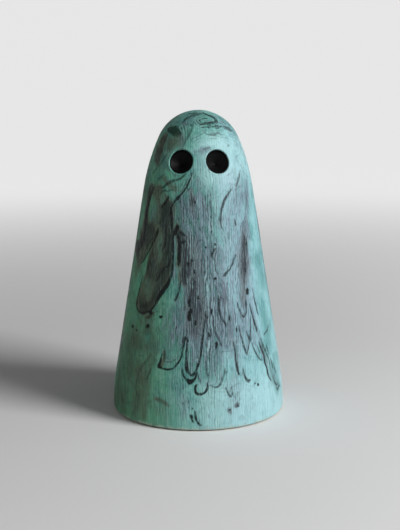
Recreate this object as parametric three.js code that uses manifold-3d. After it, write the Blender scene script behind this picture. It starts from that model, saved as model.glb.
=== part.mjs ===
import * as THREE from 'three';
import { mergeVertices } from 'three/addons/utils/BufferGeometryUtils.js';
import Module from 'manifold-3d';

// A turned wooden ghost: a cone with a round head and two drilled eyes.
// Millimetres, +Z up, standing on z = 0 with its face towards -Y.

const degree = Math.PI / 180;

// Body of revolution, from the foot up
const height = 128;
const footRadius = 37;
const footEdgeRadius = 1.2;
const skirtRadius = 96;
const shoulderRadius = 88;
const crownRadius = 18.2;
const crownLatitude = 24 * degree;

// Eyes: drilled holes, each lined with a thin black cup
const eyesBelowTop = 20;
const eyeAzimuth = 22 * degree;
const drillAzimuth = 14 * degree;
const drillDiameter = 10;
const drillPointAngle = 118 * degree;
const eyeWallDepth = 2.4;
const eyeLiningThickness = 0.5;

// Felt disc let into a round recess in the underside
const feltDiameter = 49;
const feltThickness = 2.6;
const feltProud = 0.4;

// Clearance between pieces that seat in each other
const seatGap = 0.3;

// Facets
const bodySegments = 96;
const eyeSegments = 36;
const feltSegments = 72;
const weldTolerance = 1e-4;

const wasm = await Module();
wasm.setup();

// A closed geometry as a solid, and a solid as a geometry
function toSolid(geometry) {
  const bare = geometry.clone();
  bare.deleteAttribute('normal');
  bare.deleteAttribute('uv');
  const welded = mergeVertices(bare, weldTolerance);
  return new wasm.Manifold(new wasm.Mesh({
    numProp: 3,
    vertProperties: Float32Array.from(welded.attributes.position.array),
    triVerts: Uint32Array.from(welded.index.array),
  }));
}

function toGeometry(solid) {
  const { vertProperties, triVerts } = solid.getMesh();
  const geometry = new THREE.BufferGeometry();
  geometry.setAttribute('position', new THREE.BufferAttribute(vertProperties, 3));
  geometry.setIndex(new THREE.BufferAttribute(triVerts, 1));
  geometry.computeVertexNormals();
  return geometry;
}

// Points along an arc of the profile, where angles are latitudes of its normal
function arc(centre, radius, from, to, steps) {
  return Array.from({ length: steps + 1 }, (_, step) => {
    const latitude = THREE.MathUtils.lerp(from, to, step / steps);
    return new THREE.Vector2(Math.cos(latitude), Math.sin(latitude)).multiplyScalar(radius).add(centre);
  });
}

// A profile of (radius, height) points turned about the Z axis
function turned(points, segments) {
  const geometry = new THREE.LatheGeometry(points, segments);
  geometry.rotateX(90 * degree);
  return toSolid(geometry);
}

// The crown is a sphere on the axis, and the shoulder an arc that is tangent to it.
// The straight flank is the common tangent of the shoulder and the skirt.
const soleHeight = feltProud;
const recessRadius = feltDiameter / 2 + seatGap;
const recessCeiling = feltThickness + seatGap;

const footEdgeCentre = new THREE.Vector2(footRadius - footEdgeRadius, soleHeight + footEdgeRadius);
const skirtCentre = new THREE.Vector2(footRadius - skirtRadius, footEdgeCentre.y);
const crownCentre = new THREE.Vector2(0, height - crownRadius);
const crownNormal = new THREE.Vector2(Math.cos(crownLatitude), Math.sin(crownLatitude));
const shoulderCentre = crownCentre.clone().addScaledVector(crownNormal, crownRadius - shoulderRadius);

const skirtToShoulder = shoulderCentre.clone().sub(skirtCentre);
const radiusStep = (skirtRadius - shoulderRadius) / skirtToShoulder.length();
const flankLatitude = skirtToShoulder.angle() - Math.acos(radiusStep);

function bodyBlank() {
  return turned([
    new THREE.Vector2(0, recessCeiling),
    new THREE.Vector2(recessRadius, recessCeiling),
    new THREE.Vector2(recessRadius, soleHeight),
    ...arc(footEdgeCentre, footEdgeRadius, -90 * degree, 0, 4),
    ...arc(skirtCentre, skirtRadius, 0, flankLatitude, 5).slice(1),
    ...arc(shoulderCentre, shoulderRadius, flankLatitude, crownLatitude, 8),
    ...arc(crownCentre, crownRadius, crownLatitude, 90 * degree, 12).slice(1, -1),
    new THREE.Vector2(0, height),
  ], bodySegments);
}

// The surface of the body at the height of the eyes
const eyeHeight = height - eyesBelowTop;
const eyeLatitude = Math.asin((eyeHeight - shoulderCentre.y) / shoulderRadius);
const eyeAxisDistance = shoulderCentre.x + shoulderRadius * Math.cos(eyeLatitude);

// The space that the drill leaves, made smaller all round by an inset.
// Its origin is on the body's surface, with +Z out of the hole.
function drilledSpace(inset, mouth) {
  const radius = drillDiameter / 2 - inset;
  const pointHalfAngle = drillPointAngle / 2;
  const corner = -eyeWallDepth + inset * Math.tan(pointHalfAngle / 2);
  const tip = corner - radius / Math.tan(pointHalfAngle);
  return turned([
    new THREE.Vector2(0, tip),
    new THREE.Vector2(radius, corner),
    new THREE.Vector2(radius, mouth),
    new THREE.Vector2(0, mouth),
  ], eyeSegments);
}

// Where an eye is and which way it was drilled; side is -1 on the left and 1 on the right
function eyePlacement(side) {
  const azimuth = side * eyeAzimuth;
  const place = new THREE.Vector3(
    eyeAxisDistance * Math.sin(azimuth),
    -eyeAxisDistance * Math.cos(azimuth),
    eyeHeight,
  );
  const outward = new THREE.Vector3(
    Math.cos(eyeLatitude) * Math.sin(side * drillAzimuth),
    -Math.cos(eyeLatitude) * Math.cos(drillAzimuth),
    Math.sin(eyeLatitude),
  );
  const turn = new THREE.Quaternion().setFromUnitVectors(new THREE.Vector3(0, 0, 1), outward);
  return new THREE.Matrix4().compose(place, turn, new THREE.Vector3(1, 1, 1));
}

// The mouth of the drilled space stands this far out, clear of the curved surface
const mouthReach = drillDiameter / 2;

const blank = bodyBlank();
const socket = drilledSpace(0, mouthReach);
const lining = drilledSpace(seatGap, mouthReach)
  .subtract(drilledSpace(seatGap + eyeLiningThickness, 2 * mouthReach));

function body() {
  return [-1, 1].reduce(
    (solid, side) => solid.subtract(socket.transform(eyePlacement(side).elements)),
    blank,
  );
}

// The lining ends flush with the body's surface
function eye(side) {
  return lining.transform(eyePlacement(side).elements).intersect(blank);
}

function baseFelt() {
  return turned([
    new THREE.Vector2(0, 0),
    new THREE.Vector2(feltDiameter / 2, 0),
    new THREE.Vector2(feltDiameter / 2, feltThickness),
    new THREE.Vector2(0, feltThickness),
  ], feltSegments);
}

// Finishes
const marbledPaint = new THREE.MeshStandardMaterial({ color: '#86bcae', roughness: 0.5, metalness: 0 });
const blackPaint = new THREE.MeshStandardMaterial({ color: '#0b0b0c', roughness: 0.35, metalness: 0 });
const greyFelt = new THREE.MeshStandardMaterial({ color: '#3a3d3d', roughness: 0.95, metalness: 0 });

const group = new THREE.Group();

function add(name, solid, material) {
  const mesh = new THREE.Mesh(toGeometry(solid), material);
  mesh.name = name;
  group.add(mesh);
}

add('body', body(), marbledPaint);
add('left_eye', eye(-1), blackPaint);
add('right_eye', eye(1), blackPaint);
add('base_felt', baseFelt(), greyFelt);

export default group;
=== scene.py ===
import math

import bpy
import numpy as np
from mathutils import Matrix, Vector, noise


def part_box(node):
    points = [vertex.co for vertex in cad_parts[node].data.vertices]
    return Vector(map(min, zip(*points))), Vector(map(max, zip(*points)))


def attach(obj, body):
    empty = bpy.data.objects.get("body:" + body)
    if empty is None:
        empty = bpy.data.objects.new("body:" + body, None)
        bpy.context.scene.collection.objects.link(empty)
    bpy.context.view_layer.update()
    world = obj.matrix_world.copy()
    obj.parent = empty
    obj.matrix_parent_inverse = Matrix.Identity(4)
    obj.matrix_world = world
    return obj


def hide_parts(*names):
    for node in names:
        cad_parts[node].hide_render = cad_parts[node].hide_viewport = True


# A turned wooden ghost with marbled paint and two drilled black eyes.
# Sizes are in millimetres until a mesh is made, and Blender's own units are metres.

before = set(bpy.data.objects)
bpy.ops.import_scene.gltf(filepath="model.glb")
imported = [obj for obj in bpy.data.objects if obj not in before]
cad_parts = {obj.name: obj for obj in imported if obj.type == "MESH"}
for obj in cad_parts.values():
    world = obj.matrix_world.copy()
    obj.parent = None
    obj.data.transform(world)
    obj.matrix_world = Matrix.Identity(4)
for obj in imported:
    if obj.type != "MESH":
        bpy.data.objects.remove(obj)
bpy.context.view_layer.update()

MM = 0.001
SEED = 31


def deg(angle):
    return math.radians(angle)


# Sizes of the turned body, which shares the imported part's box
low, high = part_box("body")
TOP = high[2] / MM
SOLE = low[2] / MM
FOOT_RADIUS = (high[0] - low[0]) / 2 / MM
FOOT_EDGE_RADIUS = 1.2
SKIRT_RADIUS = 96.0
SHOULDER_RADIUS = 88.0
CROWN_RADIUS = 18.2
CROWN_LATITUDE = deg(24)

# Sizes of the drilled eyes
EYES_BELOW_TOP = 20.0
EYE_AZIMUTH = deg(22)
DRILL_AZIMUTH = deg(14)
EYE_RADIUS = 5.0
POINT_HALF_ANGLE = deg(59)
EYE_WALL_DEPTH = 2.4
RIM_RADIUS = 0.55
LINING_THICKNESS = 0.32
LINING_CLEAR = 0.03

# Sizes of the felt disc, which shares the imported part's box, and of its recess
felt_low, felt_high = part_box("base_felt")
FELT_RADIUS = (felt_high[0] - felt_low[0]) / 2 / MM
FELT_TOP = felt_high[2] / MM
FELT_EDGE_RADIUS = 0.35
SEAT_GAP = 0.3

# Mesh density
COLUMNS = 552
FRONT_BIAS = 0.6
ROW_STEP = 0.86
EDGE_ROWS = 7
FILL_LOOPS = 7
RIM_LOOPS = 5

# The part of the body's mesh left open round each eye: half its height, and half its width
WINDOW_HEIGHT = 6.9
WINDOW_WIDTH = deg(19.3)

# How far in and out along a drill the surface is looked for, and how often that stretch is halved
SEARCH_IN = -9.0
SEARCH_OUT = 5.0
HALVINGS = 40

# Wood grain: growth rings about a far-off pith, so that they run straight down the front
PITH = (-112.0, -27.0)
RING_PITCH = 1.0
GROOVE_DEPTH = 0.09
DENT_DEPTH = 0.22
CHIP_DEPTH = 0.22


# The profile

def on_arc(centre, radius, latitude):
    return centre + radius * np.array([math.cos(latitude), math.sin(latitude)])


edge_centre = np.array([FOOT_RADIUS - FOOT_EDGE_RADIUS, SOLE + FOOT_EDGE_RADIUS])
skirt_centre = np.array([FOOT_RADIUS - SKIRT_RADIUS, edge_centre[1]])
crown_centre = np.array([0.0, TOP - CROWN_RADIUS])
shoulder_centre = on_arc(crown_centre, CROWN_RADIUS - SHOULDER_RADIUS, CROWN_LATITUDE)
span = shoulder_centre - skirt_centre
FLANK_LATITUDE = math.atan2(span[1], span[0]) - math.acos(
    (SKIRT_RADIUS - SHOULDER_RADIUS) / np.hypot(*span)
)
skirt_top = on_arc(skirt_centre, SKIRT_RADIUS, FLANK_LATITUDE)
shoulder_bottom = on_arc(shoulder_centre, SHOULDER_RADIUS, FLANK_LATITUDE)
crown_bottom = on_arc(crown_centre, CROWN_RADIUS, CROWN_LATITUDE)


def arc_radius(z, centre, radius):
    return centre[0] + np.sqrt(np.maximum(radius**2 - (z - centre[1]) ** 2, 0.0))


def arc_latitude(z, centre, radius):
    return np.arcsin(np.clip((z - centre[1]) / radius, -1.0, 1.0))


def stretch(z):
    """Which stretch of the profile each height is on."""
    return [z < edge_centre[1], z < skirt_top[1], z < shoulder_bottom[1], z < crown_bottom[1]]


def radius_at(z):
    z = np.asarray(z, float)
    flank = skirt_top[0] - (z - skirt_top[1]) * math.tan(FLANK_LATITUDE)
    return np.select(stretch(z), [
        arc_radius(z, edge_centre, FOOT_EDGE_RADIUS),
        arc_radius(z, skirt_centre, SKIRT_RADIUS),
        flank,
        arc_radius(z, shoulder_centre, SHOULDER_RADIUS),
    ], arc_radius(z, crown_centre, CROWN_RADIUS))


def latitude_at(z):
    z = np.asarray(z, float)
    return np.select(stretch(z), [
        arc_latitude(z, edge_centre, FOOT_EDGE_RADIUS),
        arc_latitude(z, skirt_centre, SKIRT_RADIUS),
        np.full_like(z, FLANK_LATITUDE),
        arc_latitude(z, shoulder_centre, SHOULDER_RADIUS),
    ], arc_latitude(z, crown_centre, CROWN_RADIUS))


def circle(radius, azimuth, z):
    """Points round the body's axis. Azimuth is 0 at the face and grows to +X."""
    return np.stack([radius * np.sin(azimuth), -radius * np.cos(azimuth), z + 0 * azimuth], -1)


def on_body(azimuth, z):
    """Points of the body's surface."""
    azimuth = np.asarray(azimuth, float)
    z = np.asarray(z, float)
    return circle(radius_at(z), azimuth, z)


def normal_on_body(points):
    around = np.hypot(points[..., 0], points[..., 1]) + 1e-9
    latitude = latitude_at(points[..., 2])
    flat = np.cos(latitude) / around
    return np.stack([flat * points[..., 0], flat * points[..., 1], np.sin(latitude)], -1)


# The eyes' frames: centre, two directions across the hole, and the drill's way out

def eye_frame(side):
    height = TOP - EYES_BELOW_TOP
    centre = on_body(side * EYE_AZIMUTH, height)
    rise = float(latitude_at(height))
    out = np.array([
        math.cos(rise) * math.sin(side * DRILL_AZIMUTH),
        -math.cos(rise) * math.cos(DRILL_AZIMUTH),
        math.sin(rise),
    ])
    across = np.cross([0.0, 0.0, 1.0], out)
    across /= np.linalg.norm(across)
    return centre, across, np.cross(out, across), out


def onto_surface(frame_of_eye, x, y):
    """How far out along the drill the body's surface lies, for points across the hole."""
    centre, across, up, out = frame_of_eye
    base = centre + x[:, None] * across + y[:, None] * up
    inner = np.full(len(x), SEARCH_IN)
    outer = np.full(len(x), SEARCH_OUT)
    for _ in range(HALVINGS):
        middle = (inner + outer) / 2
        points = base + middle[:, None] * out
        outside = np.hypot(points[:, 0], points[:, 1]) > radius_at(points[:, 2])
        outer = np.where(outside, middle, outer)
        inner = np.where(outside, inner, middle)
    return (inner + outer) / 2


def in_hole(frame_of_eye, radius, angles, depth):
    """Points at a radius round the drill's axis and a distance out along it."""
    centre, across, up, out = frame_of_eye
    x = radius * np.cos(angles)
    y = radius * np.sin(angles)
    return centre + x[:, None] * across + y[:, None] * up + (0 * angles + depth)[:, None] * out


# Mesh making

class MeshMaker:
    """Gathers points and faces, and knows which loops of points join which."""

    def __init__(self):
        self.blocks = []
        self.count = 0
        self.faces = []

    def points(self, block):
        start = self.count
        self.blocks.append(np.asarray(block, float))
        self.count += len(block)
        return np.arange(start, self.count)

    def join(self, loop, inner):
        after = np.roll(loop, -1)
        inner_after = np.roll(inner, -1)
        self.faces.extend(np.stack([loop, after, inner_after, inner], -1).tolist())

    def close(self, loop, tip):
        after = np.roll(loop, -1)
        self.faces.extend([a, b, tip] for a, b in zip(loop.tolist(), after.tolist()))

    def build(self, name, move=None):
        points = np.concatenate(self.blocks)
        used = np.unique(np.concatenate([np.asarray(face) for face in self.faces]))
        renumber = np.zeros(len(points), int)
        renumber[used] = np.arange(len(used))
        points = points[used]
        faces = [[int(renumber[corner]) for corner in face] for face in self.faces]
        placed = points if move is None else move(points)
        mesh = bpy.data.meshes.new(name)
        mesh.from_pydata((placed * MM).tolist(), [], faces)
        mesh.polygons.foreach_set("use_smooth", [True] * len(mesh.polygons))
        mesh.update()
        made = bpy.data.objects.new(name, mesh)
        bpy.context.scene.collection.objects.link(made)
        return made, points


def column_azimuths():
    """Azimuths all round, closer together at the front and back, where the grain is finest."""
    samples = 20001
    fine = np.linspace(-math.pi, math.pi, samples)
    density = 1 + FRONT_BIAS * np.cos(fine) ** 2
    total = np.concatenate([[0], np.cumsum((density[1:] + density[:-1]) / 2)])
    return np.interp(np.arange(COLUMNS) / COLUMNS * total[-1], total, fine)


def outer_heights():
    """Heights of the outer surface's rows, an equal step apart along the profile."""
    edge = SOLE + FOOT_EDGE_RADIUS * (1 - np.cos(np.linspace(0, math.pi / 2, EDGE_ROWS)))
    side_count = round((crown_bottom[1] - edge[-1]) / ROW_STEP)
    side = np.linspace(edge[-1], crown_bottom[1], side_count)[1:]
    crown_length = CROWN_RADIUS * (math.pi / 2 - CROWN_LATITUDE)
    latitudes = np.linspace(CROWN_LATITUDE, math.pi / 2, round(crown_length / ROW_STEP))[1:-1]
    crown = crown_centre[1] + CROWN_RADIUS * np.sin(latitudes)
    return np.concatenate([edge, side, crown])


def smooth(low_end, high_end, value):
    t = np.clip((value - low_end) / (high_end - low_end), 0, 1)
    return t * t * (3 - 2 * t)


def noise_at(points, scale, seed=0.0):
    """Smooth noise of about -1 to 1 at each point; scale is a size in mm or one for each axis."""
    scaled = points / np.asarray(scale) + seed
    return np.array([noise.noise(Vector(p)) for p in scaled])


# Wood grain and dents

def ring_number(points):
    """Which growth ring each point is in, counted from the pith in whole and part rings."""
    x, y, z = points[:, 0], points[:, 1], points[:, 2]
    distance = np.hypot(x - PITH[0], y - PITH[1])
    distance += 0.30 * np.sin(z / 19 + x / 31) + 0.16 * np.sin(z / 7.3 + y / 11 + 1.3)
    distance += 0.34 * noise_at(points, (9, 9, 30), 3.1) + 0.24 * noise_at(points, (2.6, 2.6, 17), 7.7)
    return distance / RING_PITCH + 0.30 * np.sin(distance / 2.9) + 0.22 * np.sin(distance / 1.37 + 1)


def groove(ring):
    """The sunken early wood of each ring, from 0 on the ridge to 1 in the groove."""
    part = ring - np.floor(ring)
    return smooth(0.0, 0.16, part) * (1 - smooth(0.28, 0.6, part))


def ring_strength(points, ring):
    """How deep each ring's groove runs, which differs from ring to ring and along its length."""
    across = np.floor(ring) * 1.713
    strength = noise_at(np.stack([across, 0 * across, points[:, 2] / 16], -1), 1.0, 4.4)
    return np.clip(0.6 + 0.8 * strength, 0.1, 1)


def eye_distance(points):
    """How far outside the nearer eye's drilled edge each point lies."""
    nearest = np.full(len(points), 1e3)
    for side in (-1, 1):
        centre, across, up, out = eye_frame(side)
        offset = points - centre
        in_plane = np.hypot(offset @ across, offset @ up)
        near = np.where(np.abs(offset @ out) < 7, in_plane - EYE_RADIUS, 1e3)
        nearest = np.minimum(nearest, near)
    return nearest


def worn_surface(points):
    """Moves the outer surface inwards by its grooves, dents and the chips of its foot edge."""
    normals = normal_on_body(points)
    outside = (points[:, 2] > SOLE + 0.02) & (eye_distance(points) > RIM_RADIUS - 0.01)
    away = smooth(0.2, 1.6, eye_distance(points)) * smooth(SOLE, SOLE + 0.8, points[:, 2])
    flat_top = 1 - 0.55 * smooth(deg(35), deg(75), latitude_at(points[:, 2]))
    ring = ring_number(points)
    sunk = GROOVE_DEPTH * groove(ring) * flat_top * ring_strength(points, ring)
    dents = 0.5 + 0.5 * noise_at(points, (17, 17, 24), 11.0)
    chips = smooth(0.15, 0.6, noise_at(points, (2.6, 2.6, 2.0), 5.0))
    chips = chips * smooth(SOLE + 2.2, SOLE + 0.2, points[:, 2]) * CHIP_DEPTH
    inwards = (sunk + DENT_DEPTH * dents) * away + chips * smooth(0.0, 0.3, points[:, 2] - SOLE)
    return points - normals * np.where(outside, inwards, 0.0)[:, None]


# The body's mesh

def make_body():
    maker = MeshMaker()
    azimuths = column_azimuths()

    # The underside and its recess
    recess_radius = FELT_RADIUS + SEAT_GAP
    ceiling = FELT_TOP + SEAT_GAP
    rim = 0.25
    under = [(recess_radius, ceiling), (recess_radius, SOLE + rim), (recess_radius + 0.08, SOLE + 0.07)]
    sole_radii = np.linspace(recess_radius + rim, FOOT_RADIUS - FOOT_EDGE_RADIUS - 0.3, 5)
    under += [(radius, SOLE) for radius in sole_radii]
    loops = [maker.points(circle(radius, azimuths, z)) for radius, z in under]
    maker.close(loops[0][::-1], maker.points([(0.0, 0.0, ceiling)])[0])

    # The outer surface
    heights = outer_heights()
    for row, z in enumerate(heights):
        if row < EDGE_ROWS:
            latitude = deg(-90) + row / (EDGE_ROWS - 1) * deg(90)
            radius = edge_centre[0] + FOOT_EDGE_RADIUS * math.cos(latitude)
            loops.append(maker.points(circle(radius, azimuths, z)))
        else:
            loops.append(maker.points(on_body(azimuths, z)))

    # A window is left in the rows and columns round each eye
    rows = np.nonzero(np.abs(heights - (TOP - EYES_BELOW_TOP)) < WINDOW_HEIGHT)[0] + len(under)
    windows = []
    for side in (-1, 1):
        inside = np.nonzero(np.abs(azimuths - side * EYE_AZIMUTH) < WINDOW_WIDTH)[0]
        windows.append((inside[0], inside[-1]))
    for index, (lower, upper) in enumerate(zip(loops, loops[1:])):
        for column in range(COLUMNS):
            if rows[0] <= index < rows[-1] and any(first <= column < last for first, last in windows):
                continue
            after = (column + 1) % COLUMNS
            maker.faces.append([lower[column], lower[after], upper[after], upper[column]])
    maker.close(loops[-1], maker.points([(0.0, 0.0, TOP)])[0])

    # Each window is filled by loops that close in on the drilled hole
    for side, (first, last) in zip((-1, 1), windows):
        below = [loops[rows[0]][column] for column in range(first, last)]
        right = [loops[row][last] for row in range(rows[0], rows[-1])]
        above = [loops[rows[-1]][column] for column in range(last, first, -1)]
        left = [loops[row][first] for row in range(rows[-1], rows[0], -1)]
        drill_hole(maker, eye_frame(side), np.array(below + right + above + left))
    return maker


def drill_hole(maker, eye, border):
    """Fills a window in the surface, rounds the hole's edge and lines its wall and point."""
    centre, across, up, out = eye
    offset = np.concatenate(maker.blocks)[border] - centre
    x, y = offset @ across, offset @ up
    angles = np.arctan2(y, x)
    edge = EYE_RADIUS + RIM_RADIUS
    rings = []
    for step in range(1, FILL_LOOPS + 1):
        share = (step / FILL_LOOPS) ** 0.8
        ring_x = x + (edge * np.cos(angles) - x) * share
        ring_y = y + (edge * np.sin(angles) - y) * share
        depth = onto_surface(eye, ring_x, ring_y)
        rings.append(centre + ring_x[:, None] * across + ring_y[:, None] * up + depth[:, None] * out)
    for step in range(1, RIM_LOOPS + 1):
        turn = step / RIM_LOOPS * math.pi / 2
        radius = EYE_RADIUS + RIM_RADIUS * (1 - math.sin(turn))
        surface = onto_surface(eye, radius * np.cos(angles), radius * np.sin(angles))
        rings.append(in_hole(eye, radius, angles, surface - RIM_RADIUS * (1 - math.cos(turn))))
    tip = -EYE_WALL_DEPTH - EYE_RADIUS / math.tan(POINT_HALF_ANGLE)
    for radius, depth in ((EYE_RADIUS, -EYE_WALL_DEPTH), (EYE_RADIUS / 2, (tip - EYE_WALL_DEPTH) / 2)):
        rings.append(in_hole(eye, radius, angles, depth))
    loop = border
    for ring in rings:
        inner = maker.points(ring)
        maker.join(loop, inner)
        loop = inner
    maker.close(loop, maker.points([centre + tip * out])[0])


# The black linings of the eyes

def make_eye(name, side):
    eye = eye_frame(side)
    maker = MeshMaker()
    angles = np.linspace(0, 2 * math.pi, 96, endpoint=False)
    lip = onto_surface(eye, EYE_RADIUS * np.cos(angles), EYE_RADIUS * np.sin(angles)) - RIM_RADIUS
    outer = EYE_RADIUS - LINING_CLEAR
    inner = outer - LINING_THICKNESS

    def cone_depth(inset, radius):
        """How deep the drill's point is at a radius, for a surface set in from the drilled one."""
        corner = -EYE_WALL_DEPTH + inset * math.tan(POINT_HALF_ANGLE / 2)
        return corner - (EYE_RADIUS - inset - radius) / math.tan(POINT_HALF_ANGLE)

    # Out of the back's tip, up the outside, over the rounded lip and down to the tip inside
    back = [(radius, cone_depth(LINING_CLEAR, radius)) for radius in (0.6, 2.5, outer)]
    middle = (outer + inner) / 2
    over = [
        (middle + LINING_THICKNESS / 2 * math.cos(turn), lip + 0.12 * math.sin(turn) - 0.1)
        for turn in np.linspace(0, math.pi, 7)
    ]
    inset = LINING_CLEAR + LINING_THICKNESS
    corner = cone_depth(inset, inner)
    wall = [(inner, lip * (1 - share) + corner * share) for share in (0.35, 0.7, 0.93)]
    cone = [(radius, cone_depth(inset, radius)) for radius in (inner - 0.22, 3.4, 2.4, 1.4, 0.7, 0.28)]
    loops = [maker.points(in_hole(eye, radius, angles, depth)) for radius, depth in back + over + wall + cone]
    centre, out = eye[0], eye[3]
    tip_out = maker.points([centre + cone_depth(LINING_CLEAR, 0.0) * out])[0]
    tip_in = maker.points([centre + (cone_depth(inset, 0.0) + 0.08) * out])[0]
    maker.close(loops[0][::-1], tip_out)
    for outer_loop, inner_loop in zip(loops, loops[1:]):
        maker.join(outer_loop, inner_loop)
    maker.close(loops[-1], tip_in)
    made, _ = maker.build(name)
    return made


# The felt disc

def make_felt():
    maker = MeshMaker()
    angles = np.linspace(-math.pi, math.pi, 180, endpoint=False)
    edge = FELT_EDGE_RADIUS
    profile = [(radius, 0.0) for radius in np.linspace(1.5, FELT_RADIUS - edge, 26)]
    profile += [
        (FELT_RADIUS - edge + edge * math.sin(turn), edge * (1 - math.cos(turn)))
        for turn in np.linspace(0.3, math.pi / 2, 4)
    ]
    profile += [(FELT_RADIUS, z) for z in np.linspace(edge + 0.3, FELT_TOP - 0.1, 5)]
    profile += [(FELT_RADIUS - 0.1, FELT_TOP)]
    loops = [maker.points(circle(radius, angles, z)) for radius, z in profile]
    maker.close(loops[0][::-1], maker.points([(0.0, 0.0, 0.0)])[0])
    for lower, upper in zip(loops, loops[1:]):
        maker.join(lower, upper)
    maker.close(loops[-1], maker.points([(0.0, 0.0, FELT_TOP)])[0])

    def fibrous(points):
        """The pressed felt's uneven face and edge, kept above the ground and inside its recess."""
        rough = 0.5 + 0.5 * noise_at(points, (1.1, 1.1, 1.1), 2.0)
        around = np.hypot(points[:, 0], points[:, 1])
        moved = points.copy()
        moved[:, 2] += np.where(points[:, 2] < edge, 0.06 * rough, 0.0)
        squeeze = 1 - np.where(around > FELT_RADIUS - edge, 0.12 * rough / FELT_RADIUS, 0.0)
        moved[:, :2] *= squeeze[:, None]
        return moved

    made, _ = maker.build("felt_disc", fibrous)
    return made
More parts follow.
